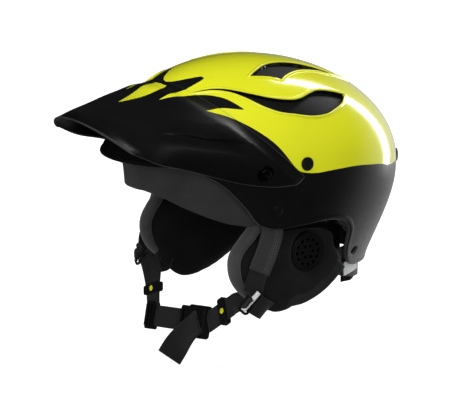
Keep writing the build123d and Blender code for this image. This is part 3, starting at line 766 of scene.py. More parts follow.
def build_shell():
    sheet = Sheet(164, 164)
    rim_band = side_field(rim_region(0.0), 0.0, BRIM_FLARE)
    rough = rim_band(sheet.uv)
    sheet._keep((rough[sheet.tris] > -6).all(1))
    sheet.refine(np.abs(rim_band(sheet.uv) - 3.5) < 4.5)
    sheet.refine(np.abs(vents(sheet.uv)) < 4.5)
    sheet.refine(np.abs(vents(sheet.uv)) < 2.4)
    sheet.refine(np.abs(yellow_on(chart(sheet.uv))) < 2.0)
    sheet.cut(lambda uv: rim_band(uv) - RIM_ROUND, keep=True)

    def lobe(uv):
        points = dome(uv)
        return np.hypot(points[:, 1] - LOBE_Y, points[:, 2] - LOBE_Z) - LOBE_RADIUS - RIM_ROUND

    sheet.refine(lobe(sheet.uv) < 6.0)
    sheet.cut(lobe, keep=True)
    for level in LIP_LEVELS[1:]:
        sheet.cut(lambda uv, level=level: rim_band(uv) - level)
    for level in VENT_LEVELS:
        sheet.cut(lambda uv, level=level: vents(uv) - level)
    sheet.cut(lambda uv: yellow_on(chart(uv)), mark="yellow")
    sheet.cut(lambda uv: vents(uv) - 0.001, mark="vent")

    base = dome(sheet.uv, 0.0, BRIM_FLARE)
    normals = vertex_normals(base, sheet.tris)
    if normals[np.argmax(base[:, 2]), 2] < 0:
        sheet.tris = sheet.tris[:, ::-1]
        normals = -normals
    lift = np.interp(vents(sheet.uv), VENT_LEVELS, VENT_HEIGHTS)
    lift += np.interp(rim_band(sheet.uv), LIP_LEVELS, LIP_HEIGHTS)
    under_peak = ease((PEAK_SEAT_LINE - (base[:, 1] + base[:, 2])) / 3.0) * ease((base[:, 2] - 2.0) / 8.0)
    lift -= 1.6 * under_peak
    outer = base + normals * lift[:, None]
    inner = base - normals * (SHELL_WALL + 0.1)
    points, faces, kinds = closed_sheet(outer, inner, sheet.tris)
    colours = np.where(sheet.marks["vent"], 2, np.where(sheet.marks["yellow"], 0, 1))
    # Edge faces (kind -1) take the painted edge highlight grey.
    slots = np.where(kinds >= 0, colours[np.maximum(kinds, 0)], np.where(kinds == -1, 4, 3))
    materials = [YELLOW, BLACK_SHELL, BLACK_PAINT, SHELL_INSIDE, PAINTED_EDGE_HIGHLIGHT]
    obj = mesh_object("painted_shell", points, faces, materials, slots)
    return finish_piece(obj, "helmet", "shell_paint", "outer_shell")


build_shell()


# ---------------------------------------------------------------- foam liner, brow and comfort pads
EDGE_REACH = 2.6


def dome_piece(name, nodes, slot_name, material, inset, wall, polygons, holes=(), count=150, pillow=None):
    """A thick layer of the head form, cut by side-view outlines; pillow rounds its inner face."""
    sheet = Sheet(count, count)
    for polygon in polygons:
        field = side_field(polygon, inset)
        rough = field(sheet.uv)
        sheet._keep((rough[sheet.tris] > -8).all(1))
        sheet.cut(lambda uv, field=field: field(uv) - EDGE_REACH, keep=True)
    for hole in holes:
        field = side_field(hole, inset)
        sheet.cut(lambda uv, field=field: -field(uv) - EDGE_REACH, keep=True)
    outer = dome(sheet.uv, inset)
    normals = vertex_normals(outer, sheet.tris)
    if np.mean((normals * unit(outer)).sum(1)) < 0:
        sheet.tris = sheet.tris[:, ::-1]
        normals = -normals
    depth = np.full(len(outer), wall)
    if pillow is not None:
        depth = pillow(sheet.uv, outer, polygons)
    points, faces, _ = closed_sheet(outer, outer - normals * depth[:, None], sheet.tris, 9, EDGE_REACH, 3.2)
    obj = mesh_object(name, points, faces, [material])
    return finish_piece(obj, "helmet", slot_name, *nodes)


NAPE_RELIEF = np.array([(24, -45), (60, -74), (170, -84), (170, -130), (24, -130)], float)
dome_piece("foam_liner", ["shock_liner"], "liner_foam", FOAM, LINER_INSET, LINER_WALL, [rim_region(2.0)],
           [NAPE_RELIEF], 140)
brow_polygon = np.vstack([curve_through(BROW_EDGE), [(-50, -46), (-46, -20), (-100, 30), (-170, 30)]])
dome_piece("foam_brow", ["brow_liner"], "liner_foam", FOAM, BROW_INSET, BROW_WALL, [brow_polygon],
           [rim_region(9.0)], 190)


NAPE_BAND = np.array([(27, -79), (46, -76), (84, -84), (84, -97), (46, -93), (27, -98)], float)
dome_piece("nape_side_band", [], "pad_fabric", BAND_CLOTH, 6.0, 1.8, [NAPE_BAND], (), 170)


def pillow_depth(wall, soft):
    """Inner face that swells from the pad's edge."""
    def depth(uv, outer, polygons):
        gap = np.full(len(outer), 1e9)
        for polygon in polygons:
            gap = np.minimum(gap, inside_distance(outer[:, 1:], polygon, 200.0))
        swell = np.sqrt(np.clip(gap / soft, 0, 1))
        return 2.0 + (wall - 2.0) * swell
    return depth


BROW_PAD_RISE = 3.0
brow_pad_edge = curve_through([(y, z + BROW_PAD_RISE) for y, z in BROW_EDGE[:4]])
brow_pad_polygon = np.vstack([brow_pad_edge, [(-81, -6), (-96, 12), (-150, 12)]])
dome_piece("front_comfort_pad", ["brow_pad"], "pad_fabric", PAD_CLOTH, PAD_INSET, 7.0, [brow_pad_polygon], (), 120,
           pillow_depth(7.0, 9.0))


def region_pad(name, low, high, inset=PAD_INSET):
    """A comfort pad cut from the pad layer by its CAD box, with rounded corners."""
    sheet = Sheet(150, 150)
    corner = 9.0
    low = np.asarray(low, float)
    high = np.asarray(high, float)
    spans = [k for k in range(3) if high[k] - low[k] < 118.0]

    def field(uv):
        points = dome(uv, inset)
        middle = (low + high) / 2
        half = (high - low) / 2 - corner
        offset = np.maximum(np.abs(points[:, spans] - middle[spans]) - half[spans], 0)
        return corner - np.linalg.norm(offset, axis=1) - np.where(
            (np.abs(points - middle) > (high - low) / 2 + 20).any(1), 100.0, 0.0)

    sheet._keep((field(sheet.uv)[sheet.tris] > -9).all(1))
    sheet.cut(field, keep=True)
    outer = dome(sheet.uv, inset)
    normals = vertex_normals(outer, sheet.tris)
    if np.mean((normals * unit(outer)).sum(1)) < 0:
        sheet.tris = sheet.tris[:, ::-1]
        normals = -normals
    swell = np.sqrt(np.clip(field(sheet.uv) / corner, 0, 1))
    depth = 2.0 + 5.0 * swell
    points, faces, _ = closed_sheet(outer, outer - normals * depth[:, None], sheet.tris, 7)
    return mesh_object(name, points, faces, [PAD_CLOTH])


for name, node, inset in (("crown_comfort_pad", "crown_pad", PAD_INSET),
                          ("rear_comfort_pad", "rear_pad", REAR_PAD_INSET)):
    finish_piece(region_pad(name, *box_mm(node), inset), "helmet", "pad_fabric", node)
low, high = box_mm("side_pads")
low[0] = 60.0
left = region_pad("side_comfort_pads", low, high)
low[0], high[0] = -high[0], -60.0
right = region_pad("side_right", low, high)
finish_piece(join([left, right], "side_comfort_pads"), "helmet", "pad_fabric", "side_pads")


# ---------------------------------------------------------------- peak
PEAK_SECTIONS = np.array([
    (-20.0, 109.5, 1.0, 78.0, 2.0, 2.0),
    (-30.0, 109.3, -3.0, 74.5, 2.0, 2.1),
    (-40.0, 108.0, -5.0, 72.5, 2.1, 2.3),
    (-58.0, 103.5, -5.0, 67.5, 2.3, 2.5),
    (-80.0, 93.5, 0.0, 63.5, 2.3, 2.6),
    (-106.0, 79.5, 14.0, 60.0, 2.1, 2.2),
    (-125.0, 74.0, 23.0, 58.5, 1.7, 1.6),
    (-135.0, 67.5, 33.0, 53.0, 2.0, 1.5),
])


def peak_points(uv):
    """Outer face of the peak; first coordinate 0 (rear) to 1 (tip), second -1 to 1 over the crest."""
    place = np.clip(uv[:, 0], 0, 1) * (len(PEAK_SECTIONS) - 1)
    first = np.minimum(place.astype(int), len(PEAK_SECTIONS) - 2)
    part = (place - first)[:, None]
    before = PEAK_SECTIONS[np.maximum(first - 1, 0)]
    low = PEAK_SECTIONS[first]
    high = PEAK_SECTIONS[first + 1]
    after = PEAK_SECTIONS[np.minimum(first + 2, len(PEAK_SECTIONS) - 1)]
    start = (high - before) / 2
    end = (after - low) / 2
    values = low + part * (start + part * (3 * (high - low) - 2 * start - end
                                           + part * (2 * (low - high) + start + end)))
    station, half, edge_z, crest_z, wide, tall = values.T
    angle = np.abs(uv[:, 1]) * math.pi / 2
    x = np.sign(uv[:, 1]) * half * np.sin(angle) ** (2 / wide)
    z = edge_z + (crest_z - edge_z) * np.cos(angle) ** (2 / tall)
    gap = 0.4 + 2.9 * ease(uv[:, 0] / 0.2)
    free = off_shell(np.stack([x, station - z, z], 1), gap)
    flush = off_shell(free, 0.4, settle=True)
    share = ease((uv[:, 0] - 0.01) / 0.22)[:, None] ** 0.8
    return flush * (1 - share) + free * share


def off_shell(points, gap, settle=False):
    """Points moved out along their rays until they stand gap outside the head form; settle also moves
    points in that stand further out."""
    x, y, z = points.T
    lean = y - CROWN_LEAN * z / CROWN_HEIGHT
    level = np.sqrt((x / (HALF_WIDTH + gap)) ** 2 + (lean / (HALF_LENGTH + gap)) ** 2
                    + (z / (CROWN_HEIGHT + gap)) ** 2)
    scale = np.where((z >= 0) & ((level < 1) | settle), 1 / np.maximum(level, 1e-6), 1.0)
    moved = points * scale[:, None]
    depth = -np.minimum(z, 0) / LOW_LEVEL
    half = HALF_WIDTH - SIDE_TUCK * depth ** 2
    front = HALF_LENGTH - FRONT_TUCK * depth ** 2
    least = half * np.sqrt(np.maximum(1 - (y / front) ** 2, 0)) + gap
    low = (z < 0) & ((np.abs(moved[:, 0]) < least) | settle)
    moved[low, 0] = np.sign(moved[low, 0] + 1e-9) * least[low]
    return moved


CREASE = [(-150, 46), (-137, 46), (-121, 44), (-105, 40.5), (-85, 38), (-70, 33)]


def crease_lift(points):
    """A shallow scoop above and a sharp fold along the side of the peak."""
    line = curve_through(CREASE)
    y, z = points[:, 1], points[:, 2]
    order = np.argsort(line[:, 0])
    fold_z = np.interp(y, line[order, 0], line[order, 1])
    gap = z - fold_z
    fade = ease((y + 150) / 40) * ease((-66 - y) / 16)
    groove = np.interp(gap, [-9, -2.0, 0.0, 1.6, 12, 20], [0.0, -1.7, -2.0, 0.5, 0.7, 0.0])
    return groove * fade


SCREW = (-60.0, 8.5)
RECESS_RADIUS = 7.7
RECESS_DEPTH = 1.3


def screw_distance(points):
    """Side-view distance to the peak's screw."""
    return np.hypot(points[:, 1] - SCREW[0], points[:, 2] - SCREW[1])


def build_peak():
    sheet = Sheet(100, 204, (0.005, 0.99), (-0.9945, 0.9945))
    line = curve_through(CREASE)

    def fold(uv):
        points = peak_points(uv)
        return points[:, 2] - np.interp(points[:, 1], line[:, 0], line[:, 1])

    def paint_field(uv):
        return yellow_on(chart_of(peak_points(uv)))

    sheet.refine(np.abs(paint_field(sheet.uv)) < 2.5)
    for reach in (12.0, 10.0):
        sheet.refine(screw_distance(peak_points(sheet.uv)) < reach)
    for level in (-2.0, 0.0, 1.6):
        sheet.cut(lambda uv, level=level: fold(uv) - level)
    for radius in (RECESS_RADIUS, RECESS_RADIUS - 0.5):
        sheet.cut(lambda uv, radius=radius: screw_distance(peak_points(uv)) - radius)
    sheet.cut(paint_field, mark="yellow")
    outer = peak_points(sheet.uv)
    normals = vertex_normals(outer, sheet.tris)
    if normals[np.argmax(outer[:, 2]), 2] < 0:
        sheet.tris = sheet.tris[:, ::-1]
        normals = -normals
    wall = 1.1 + 1.5 * ease(sheet.uv[:, 0] / 0.1)
    inner = outer - normals * wall[:, None]
    lift = crease_lift(outer)
    lift -= np.interp(screw_distance(outer), [RECESS_RADIUS - 0.5, RECESS_RADIUS], [RECESS_DEPTH, 0.0])
    outer = outer + normals * lift[:, None]
    points, faces, kinds = closed_sheet(outer, inner, sheet.tris, 6)
    yellow = sheet.marks["yellow"]
    # Edge faces (kind -1) take the painted edge highlight grey.
    slots = np.where(kinds >= 0, np.where(yellow[np.maximum(kinds, 0)], 1, 0), np.where(kinds == -1, 3, 2))
    obj = mesh_object("moulded_peak", points, faces, [PEAK_BLACK, YELLOW, PEAK_UNDER, PAINTED_EDGE_HIGHLIGHT], slots)
    return finish_piece(obj, "helmet", "peak_plastic", "visor", "visor_badge")


build_peak()


def peak_frame(side, spot):
    """Point and outward normal of the peak's side at a station and a height."""
    grid = Sheet(300, 300, (0, 0.7), (0.55, 0.999) if side > 0 else (-0.999, -0.55))
    points = peak_points(grid.uv)
    nearest = np.argmin(np.hypot(points[:, 1] - spot[0], points[:, 2] - spot[1]))
    normal = vertex_normals(points, grid.tris)[nearest]
    return points[nearest], normal * np.sign(normal[0] * side)


# ---------------------------------------------------------------- fasteners
PLUG = (-18.0, 12.5)
RIVET = (-45.0, -27.0)


def pair(name, spot, profile, material, hex_from=None, place=side_frame, lift=0.0):
    """The same turned piece on both sides."""
    made = []
    for side in (1, -1):
        centre, normal = place(side, *spot) if place is side_frame else place(side, spot)
        made.append(lathe(name + str(side), centre + normal * lift, normal, profile, [material],
                          hex_from=hex_from))
    return join(made, name)


washer = pair("recessed_screw_washers", SCREW,
              [(2.6, 0.0), (6.2, 0.0), (6.9, 0.2), (7.1, 0.6), (6.8, 1.0), (6.2, 1.1), (5.4, 0.6), (2.6, 0.6)],
              SCREW_BLACK, place=peak_frame, lift=-RECESS_DEPTH)
finish_piece(washer, "helmet", "black_metal", "visor_washers")
screws = pair("peak_screws", SCREW,
              [(2.4, -8.0), (2.4, 0.6), (4.2, 0.6), (4.6, 0.9), (4.7, 1.4), (4.4, 2.0), (3.6, 2.4), (2.2, 2.5),
               (1.9, 2.5), (1.9, 0.9), (0.1, 0.9)], SCREW_BLACK, hex_from=8, place=peak_frame,
              lift=-RECESS_DEPTH)
finish_piece(screws, "helmet", "black_metal", "visor_screws")
rivets = pair("strap_anchor_rivets", RIVET,
              [(2.5, -7.0), (2.5, -0.4), (4.9, -0.4), (5.3, 0.0), (5.2, 0.5), (4.6, 0.9), (3.4, 1.2), (1.6, 1.35),
               (0.1, 1.4)], BLACK_SHELL)
finish_piece(rivets, "helmet", "black_metal", "strap_rivets")

PLUG_PROFILE = [(3.0, -8.0), (3.0, -0.3), (5.6, -0.3), (6.0, 0.1), (6.0, 0.7), (5.5, 1.3), (4.3, 1.6), (4.0, 1.3),
                (3.4, 1.1), (1.5, 1.0), (0.1, 1.0)]
plugs = []
for side in (1, -1):
    centre, normal = side_frame(side, *PLUG)
    plugs.append(lathe("plug" + str(side), centre, normal, PLUG_PROFILE, [PLUG_BLACK]))
    turn = math.radians(64.0)
    centre = np.array([side * HALF_WIDTH * math.cos(turn), HALF_LENGTH * math.sin(turn) + 1.1, -9.0])
    normal = unit([centre[0] / HALF_WIDTH ** 2, centre[1] / HALF_LENGTH ** 2, 0.0])
    plugs.append(lathe("rear_plug" + str(side), centre, normal, PLUG_PROFILE, [PLUG_BLACK]))
finish_piece(join(plugs, "snap_plugs"), "helmet", "plug_rubber", "shell_plugs")


# ---------------------------------------------------------------- ear pads, inflated by cloth simulation
ear_low, ear_high = box_mm("left_ear_pad")
EAR_INNER, EAR_OUTER = ear_low[0] - 5.0, ear_high[0]


def prism(name, polygon, x_low, x_high, material):
    """A closed slab from a side-view outline."""
    n = len(polygon)
    low = np.column_stack([np.full(n, x_low), polygon])
    high = np.column_stack([np.full(n, x_high), polygon])
    faces = [tuple(range(n))[::-1], tuple(range(n, 2 * n))]
    faces += [(i, (i + 1) % n, n + (i + 1) % n, n + i) for i in range(n)]
    obj = mesh_object(name, np.vstack([low, high]), faces, [material])
    bm = bmesh.new()
    bm.from_mesh(obj.data)
    bmesh.ops.recalc_face_normals(bm, faces=bm.faces)
    bm.to_mesh(obj.data)
    bm.free()
    return obj


def apply_modifiers(obj):
    """Write the modifiers' result into the mesh."""
    graph = bpy.context.evaluated_depsgraph_get()
    mesh = bpy.data.meshes.new_from_object(obj.evaluated_get(graph))
    materials = list(obj.data.materials)
    obj.modifiers.clear()
    obj.data = mesh
    obj.data.materials.clear()
    for m in materials:
        obj.data.materials.append(m)
    obj.data.polygons.foreach_set("use_smooth", [True] * len(obj.data.polygons))


def inflate(obj, voxel, pressure, cap, pinned=None):
    """Remesh, blow up as cloth, cap how far any point moves, and keep the result."""
    remesh = obj.modifiers.new("even", "REMESH")
    remesh.mode = "VOXEL"
    remesh.voxel_size = voxel * MM
    apply_modifiers(obj)
    rest = np.array([v.co for v in obj.data.vertices])
    if pinned is not None:
        group = obj.vertex_groups.new(name="pinned")
        rows = [int(i) for i in np.nonzero(pinned(rest / MM))[0]]
        group.add(rows, 1.0, "REPLACE")
    physics = obj.modifiers.new("cloth", "CLOTH")
    settings = physics.settings
    settings.use_pressure = True
    settings.uniform_pressure_force = pressure
    settings.effector_weights.gravity = 0.0
    settings.tension_stiffness = 20.0
    settings.bending_stiffness = 0.6
    if pinned is not None:
        settings.vertex_group_mass = "pinned"
    physics.point_cache.frame_start = 1
    physics.point_cache.frame_end = 20
    for number in range(1, 21):
        bpy.context.scene.frame_set(number)
    apply_modifiers(obj)
    moved = np.array([v.co for v in obj.data.vertices])
    shift = moved - rest
    length = np.linalg.norm(shift, axis=1, keepdims=True)
    shift *= np.minimum(1.0, cap * MM / np.maximum(length, 1e-9))
    obj.data.vertices.foreach_set("co", (rest + shift).astype(np.float32).ravel())
    obj.data.update()
    bpy.context.scene.frame_set(1)
    return obj


def shrink(polygon, amount):
    """The outline moved inward."""
    ahead = np.roll(polygon, -1, 0) - np.roll(polygon, 1, 0)
    normal = unit(np.stack([-ahead[:, 1], ahead[:, 0]], 1))
    middle = polygon.mean(0)
    if np.mean(((polygon - middle) * normal).sum(1)) > 0:
        normal = -normal
    return polygon + normal * amount


def smooth_mesh(obj, rounds, factor=0.5):
    """Even out a mesh in place."""
    bm = bmesh.new()
    bm.from_mesh(obj.data)
    for _ in range(rounds):
        bmesh.ops.smooth_vert(bm, verts=bm.verts, factor=factor, use_axis_x=True, use_axis_y=True,
                              use_axis_z=True)
    bm.to_mesh(obj.data)
    bm.free()


SAG = 7.0                   # how much lower the soft right pad hangs
BACK_SHIFT = 5.0            # how much further back it hangs
MESH_Y, MESH_Z = -4.0, -73.0
MESH_RADIUS = 18.0
RING_SEAT = (-63.0, -111.0)


def build_ear(side, label):
    loose = 1.0 if side < 0 else 0.0
    polygon = shrink(curve_through(EAR_OUTLINE, 6, True), 2.5)
    polygon[:, 1] -= loose * SAG * ease((-60.0 - polygon[:, 1]) / 50.0)
    polygon[:, 0] += loose * BACK_SHIFT * ease((-45.0 - polygon[:, 1]) / 25.0)
    x_low, x_high = sorted((side * (EAR_INNER - 3.0 * loose + 2.5), side * (EAR_OUTER - 2.5)))
    pad = prism(label + "_ear_cushion", polygon, x_low, x_high, PAD_CLOTH)
    inflate(pad, 3.2, 5.0, 3.0)
    smooth_mesh(pad, 4)
    co = np.array([v.co for v in pad.data.vertices]) / MM
    gap = np.hypot(co[:, 1] - MESH_Y, co[:, 2] - MESH_Z)
    outer_face = co[:, 0] * side > (EAR_INNER + EAR_OUTER) / 2
    seat = np.interp(gap, [0, MESH_RADIUS - 1, MESH_RADIUS + 2, MESH_RADIUS + 5], [4.2, 4.2, 0.6, 0.0])
    under_ring = np.hypot(co[:, 1] - RING_SEAT[0], co[:, 2] - RING_SEAT[1])
    seat += 2.2 * ease((19.0 - under_ring) / 9.0)
    co[:, 0] -= side * np.where(outer_face, seat, 0.0)
    pad.data.vertices.foreach_set("co", (co * MM).astype(np.float32).ravel())
    subdivide = pad.modifiers.new("fine", "SUBSURF")
    subdivide.levels = 1
    subdivide.render_levels = 1
    finish_piece(pad, "helmet", "pad_fabric", label + "_ear_pad")


for side, label in ((1, "left"), (-1, "right")):
    build_ear(side, label)


for radius, name in ((16.6, "outer"), (14.2, "inner")):
    rings = []
    for side in (1, -1):
        centre = np.array([side * (EAR_OUTER - 1.6), MESH_Y, MESH_Z])
        rings.append(lathe("ring" + str(side), centre, (side, 0, 0),
                           [(radius - 0.7, -0.4), (radius + 0.7, -0.4), (radius + 0.6, 0.2), (radius + 0.2, 0.55),
                            (radius - 0.2, 0.55), (radius - 0.6, 0.2), (radius - 0.7, -0.4)], [MESH_BLACK], 72))
    finish_piece(join(rings, name + "_disc_rings"), "helmet", "mesh_plastic")


# ---------------------------------------------------------------- swept strips and tubes
def sweep_strip(name, path, across, width, thick, material, round_steps=4, length_scale=1.0):
    """A flat strap along a path: path points, matching width directions, rounded edges."""
    path = np.asarray(path, float)
    across = unit(across)
    along = unit(np.gradient(path, axis=0))
    across = unit(across - along * (across * along).sum(1, keepdims=True))
    normal = np.cross(along, across)
    half_w, half_t = width / 2, thick / 2
    section = []
    columns = 9
    for k in range(columns):
        section.append((-half_w + half_t + (width - thick) * k / (columns - 1), half_t))
    for k in range(1, round_steps):
        a = math.pi * k / round_steps
        section.append((half_w - half_t + half_t * math.sin(a), half_t * math.cos(a)))
    for k in range(columns):
        section.append((half_w - half_t - (width - thick) * k / (columns - 1), -half_t))
    for k in range(1, round_steps):
        a = math.pi * k / round_steps
        section.append((-half_w + half_t - half_t * math.sin(a), -half_t * math.cos(a)))
    section = np.array(section)
    m = len(section)
    points = (path[:, None] + across[:, None] * section[None, :, :1] + normal[:, None] * section[None, :, 1:])
    points = points.reshape(-1, 3)
    faces = []
    for i in range(len(path) - 1):
        for j in range(m):
            k = (j + 1) % m
            faces.append((i * m + j, i * m + k, (i + 1) * m + k, (i + 1) * m + j))
    faces.append(tuple(range(m))[::-1])
    faces.append(tuple((len(path) - 1) * m + j for j in range(m)))
    obj = mesh_object(name, points, faces, [material])
    run = np.concatenate([[0], np.cumsum(np.linalg.norm(np.diff(path, axis=0), axis=1))])
    uv = np.stack([np.repeat(run, m), np.tile(section[:, 0], len(path))], 1)
    set_uv(obj, uv * length_scale)
    fix_normals(obj)
    return obj


def fix_normals(obj):
    """Make the faces of a closed mesh point outward."""
    bm = bmesh.new()
    bm.from_mesh(obj.data)
    bmesh.ops.recalc_face_normals(bm, faces=bm.faces)
    bm.to_mesh(obj.data)
    bm.free()


def sweep_tube(name, path, radii, flat, up, material, segments=20):
    """A padded roll along a path; flat is the share of its size along the up direction."""
    path = np.asarray(path, float)
    along = unit(np.gradient(path, axis=0))
    up = unit(np.broadcast_to(up, path.shape) - along * (along * up).sum(1, keepdims=True))
    out = np.cross(along, up)
    radii = np.asarray(radii, float)[:, None, None]
    angles = np.linspace(0, 2 * math.pi, segments, endpoint=False)
    ring = (up[:, None] * np.cos(angles)[None, :, None] * flat + out[:, None] * np.sin(angles)[None, :, None])
    points = (path[:, None] + ring * radii).reshape(-1, 3)
    faces = []
    for i in range(len(path) - 1):
        for j in range(segments):
            k = (j + 1) % segments
            faces.append((i * segments + j, i * segments + k, (i + 1) * segments + k, (i + 1) * segments + j))
    faces.append(tuple(range(segments))[::-1])
    faces.append(tuple((len(path) - 1) * segments + j for j in range(segments)))
    obj = mesh_object(name, points, faces, [material])
    fix_normals(obj)
    return obj


EAR_ROLL = [(-49, -40), (-60, -51), (-74.5, -67), (-76.5, -80), (-72, -93), (-61, -105), (-49, -114)]
EAR_BAND = [(-26, -113), (-8, -112), (12, -104), (32, -88)]
for side, label in ((1, "left"), (-1, "right")):
    back = BACK_SHIFT if side < 0 else 0.0
    line = curve_through([(side * (EAR_INNER + 7.5), y + back * ease((-40.0 - z) / 25.0), z)
                          for y, z in EAR_ROLL], 7)
    t = np.linspace(0, 1, len(line))
    size = 5.0 * np.sqrt(np.clip(np.minimum(t, 1 - t) / 0.06, 0.02, 1))
    # The roll's light grey is a painted highlight.
    roll = sweep_tube(label + "_ear_roll", line, size, 1.5, (1.0, 0.0, 0.0), PAINTED_HIGHLIGHT_ROLL_CLOTH)
    finish_piece(roll, "helmet", "pad_fabric")
    line = curve_through([(side * (EAR_OUTER - 1.2), y, z) for y, z in EAR_BAND], 7)
    across = np.tile([0.0, -0.45, 0.89], (len(line), 1))
    band = sweep_strip(label + "_ear_band", line, across, 15.0, 2.4, BAND_CLOTH)
    finish_piece(band, "helmet", "pad_fabric")


# ---------------------------------------------------------------- upper webbing tabs, bent over the strap ring
tab_low, tab_high = box_mm("left_upper_strap")
BAR_CENTRE = np.array([91.0, -67.0, -107.5])
BAR_LONG = unit([0.05, 0.755, 0.656])
BAR_SHORT = unit([-0.50, -0.548, 0.668])
BAR_FACE = np.cross(BAR_LONG, BAR_SHORT)
TAB_WIDTH = 23.0


def stitch_rows(name, path, across, columns, every, material):
    """Rows of short raised stitches along a strip."""
    along = unit(np.gradient(path, axis=0))
    across = unit(across - along * (across * along).sum(1, keepdims=True))
    normal = np.cross(along, across)
    run = np.concatenate([[0], np.cumsum(np.linalg.norm(np.diff(path, axis=0), axis=1))])
    points, faces = [], []
    box = np.array([[i, j, k] for i in (-1, 1) for j in (-1, 1) for k in (-1, 1)], float)
    sides = [(0, 1, 3, 2), (4, 6, 7, 5), (0, 4, 5, 1), (2, 3, 7, 6), (0, 2, 6, 4), (1, 5, 7, 3)]
    for column in columns:
        for d in np.arange(run[0] + 1.5, run[-1] - 1.5, every):
            at = [np.interp(d, run, path[:, k]) for k in range(3)]
            k = int(np.searchsorted(run, d))
            frame3 = np.stack([along[k] * every * 0.33, across[k] * 0.32, normal[k] * 1.25])
            start = len(points)
            points += list(np.array(at) + across[k] * column + box @ frame3)
            faces += [tuple(start + q for q in f) for f in sides]
    obj = mesh_object(name, points, faces, [material])
    fix_normals(obj)
    return obj


for side, label in ((1, "left"), (-1, "right")):
    flip = np.array([side, 1.0, 1.0])
    x = tab_low[0] + 1.2
    bar = BAR_CENTRE + BAR_SHORT * 3.6
    path = curve_through([(x - 2.5, -43, -42), (x, -45, -50), (x + 0.4, -51, -66), (x + 0.4, -59, -82)], 8) * flip
    across = np.array([(0.0, 1.0, -0.3)] * len(path))
    tab = sweep_strip(label + "_upper_tab", path, across, TAB_WIDTH, 2.2, GREY_WEB)
    finish_piece(tab, "helmet", "grey_webbing", label + "_upper_strap")
    stitches = stitch_rows(label + "_tab_stitches", path, across, (3.2, 5.4, 7.6), 2.1, STITCH)
    finish_piece(stitches, "helmet", "grey_webbing")
    path = curve_through([(x + 0.2, -57, -78), (x - 0.8, -62, -90), (x - 1.5, -64, -100),
                          bar + (0.6, 0.6, 0.0), bar + (-1.5, -0.4, -1.0)], 8) * flip
    blend_in = ease((np.arange(len(path)) - 6) / 16)[:, None]
    across = np.array([(0.0, 1.0, -0.3)]) * (1 - blend_in) + BAR_LONG * flip * blend_in
    lower = sweep_strip(label + "_lower_tab", path, across, 20.0, 1.9, BLACK_WEB)
    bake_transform(lower)
    path = curve_through([BAR_CENTRE + (0.6, -1.0, 0.8), (91.4, -59.5, -112.6), (90.5, -53, -117), (87, -48, -119.5),
                          (79, -44, -117), (74.5, -41, -110)], 8) * flip
    across = np.tile(BAR_LONG * flip, (len(path), 1))
    rear = sweep_strip(label + "_rear_strap", path, across, 18.5, 2.0, BLACK_WEB)
    finish_piece(rear, "helmet", "black_webbing")


# ---------------------------------------------------------------- strap rings
def ring_piece(side, label):
    """Flat moulded ring: a rounded frame with a broad middle bar, whose light grey is painted glare."""
    flip = np.array([side, 1.0, 1.0])
    pieces = []
    for half_short, tube, middle in ((4.6, 1.25, 0.0), (0.0, 0.0, 1.0)):
        if middle:
            length = np.linspace(-10.6, 10.6, 15)
            path = BAR_CENTRE + length[:, None] * BAR_LONG + BAR_FACE * 2.3
            # The middle bar's light grey is painted glare.
            bar = sweep_strip(label + "_bar", path * flip, np.tile(BAR_SHORT * flip, (15, 1)), 4.4, 2.6, RING_GREY)
            pieces.append(bar)
            continue
        half_long, corner = 11.4, 2.6
        loop = []
        for sx, sy, start in ((1, 1, 0), (-1, 1, 90), (-1, -1, 180), (1, -1, 270)):
            for k in range(7):
                a = math.radians(start + 90 * k / 6)
                loop.append(((half_long - corner) * sx + corner * math.cos(a),
                             (half_short - corner) * sy + corner * math.sin(a)))
        loop = np.array(loop)
        centre = BAR_CENTRE + loop[:, :1] * BAR_LONG + loop[:, 1:] * BAR_SHORT
        ahead = unit(np.roll(centre, -1, 0) - np.roll(centre, 1, 0))
        out = np.cross(ahead, BAR_FACE)
        segments = 12
        points, faces = [], []
        for k in range(segments):
            a = 2 * math.pi * k / segments
            points.append(centre + out * tube * math.cos(a) + BAR_FACE * tube * math.sin(a))
        points = np.stack(points, 1).reshape(-1, 3) * flip
        n = len(loop)
        for i in range(n):
            for j in range(segments):
                k = (j + 1) % segments
                p = (i + 1) % n
                faces.append((i * segments + j, i * segments + k, p * segments + k, p * segments + j))
        frame_part = mesh_object(label + "_frame", points, faces, [BUCKLE_BLACK])
        fix_normals(frame_part)
        pieces.append(frame_part)
    ring = join(pieces, label + "_ring")
    finish_piece(ring, "chin_strap", "ring_plastic", label + "_strap_ring")


for side, label in ((1, "left"), (-1, "right")):
    ring_piece(side, label)


# ---------------------------------------------------------------- chin strap webbing
PIVOT = np.array([0.0, -64.0, -107.0])
DROP = unit([0.0, -12.0, -39.0])
FACE = np.cross([1.0, 0.0, 0.0], -DROP)
WEB_WIDTH = 20.0
WEB_THICK = 1.8


def chin(points, lift=0.0):
    """Points given as (x, height up the strap) in the chin strap's plane."""
    p = np.asarray(points, float)
    lift = np.broadcast_to(lift, (len(p),))
    return PIVOT + p[:, :1] * np.array([1.0, 0, 0]) - p[:, 1:] * DROP + lift[:, None] * FACE


def chin_strip(name, points, lifts, width, thick, material, slot_name, body, *nodes, across=None):
    flat = curve_through([(x, h, l) for (x, h), l in zip(points, lifts)], 8)
    path = chin(flat[:, :2], flat[:, 2])
    ahead = unit(np.gradient(path, axis=0))
    side_ways = np.cross(np.tile(FACE, (len(path), 1)), ahead)
    if across is not None:
        side_ways = across(path, side_ways)
    strip = sweep_strip(name, path, side_ways, width, thick, material)
    return finish_piece(strip, body, slot_name, *nodes)


def toward_ring(side):
    """Width direction that turns to follow the ring's bar near the ring."""
    flip = np.array([side, 1.0, 1.0])

    def across(path, side_ways):
        share = ease((np.abs(path[:, 0]) - 60) / 26)[:, None]
        bar = BAR_LONG * flip
        sign = np.sign((side_ways * bar).sum(1, keepdims=True))
        return unit(side_ways * (1 - share) + bar * sign * share)
    return across


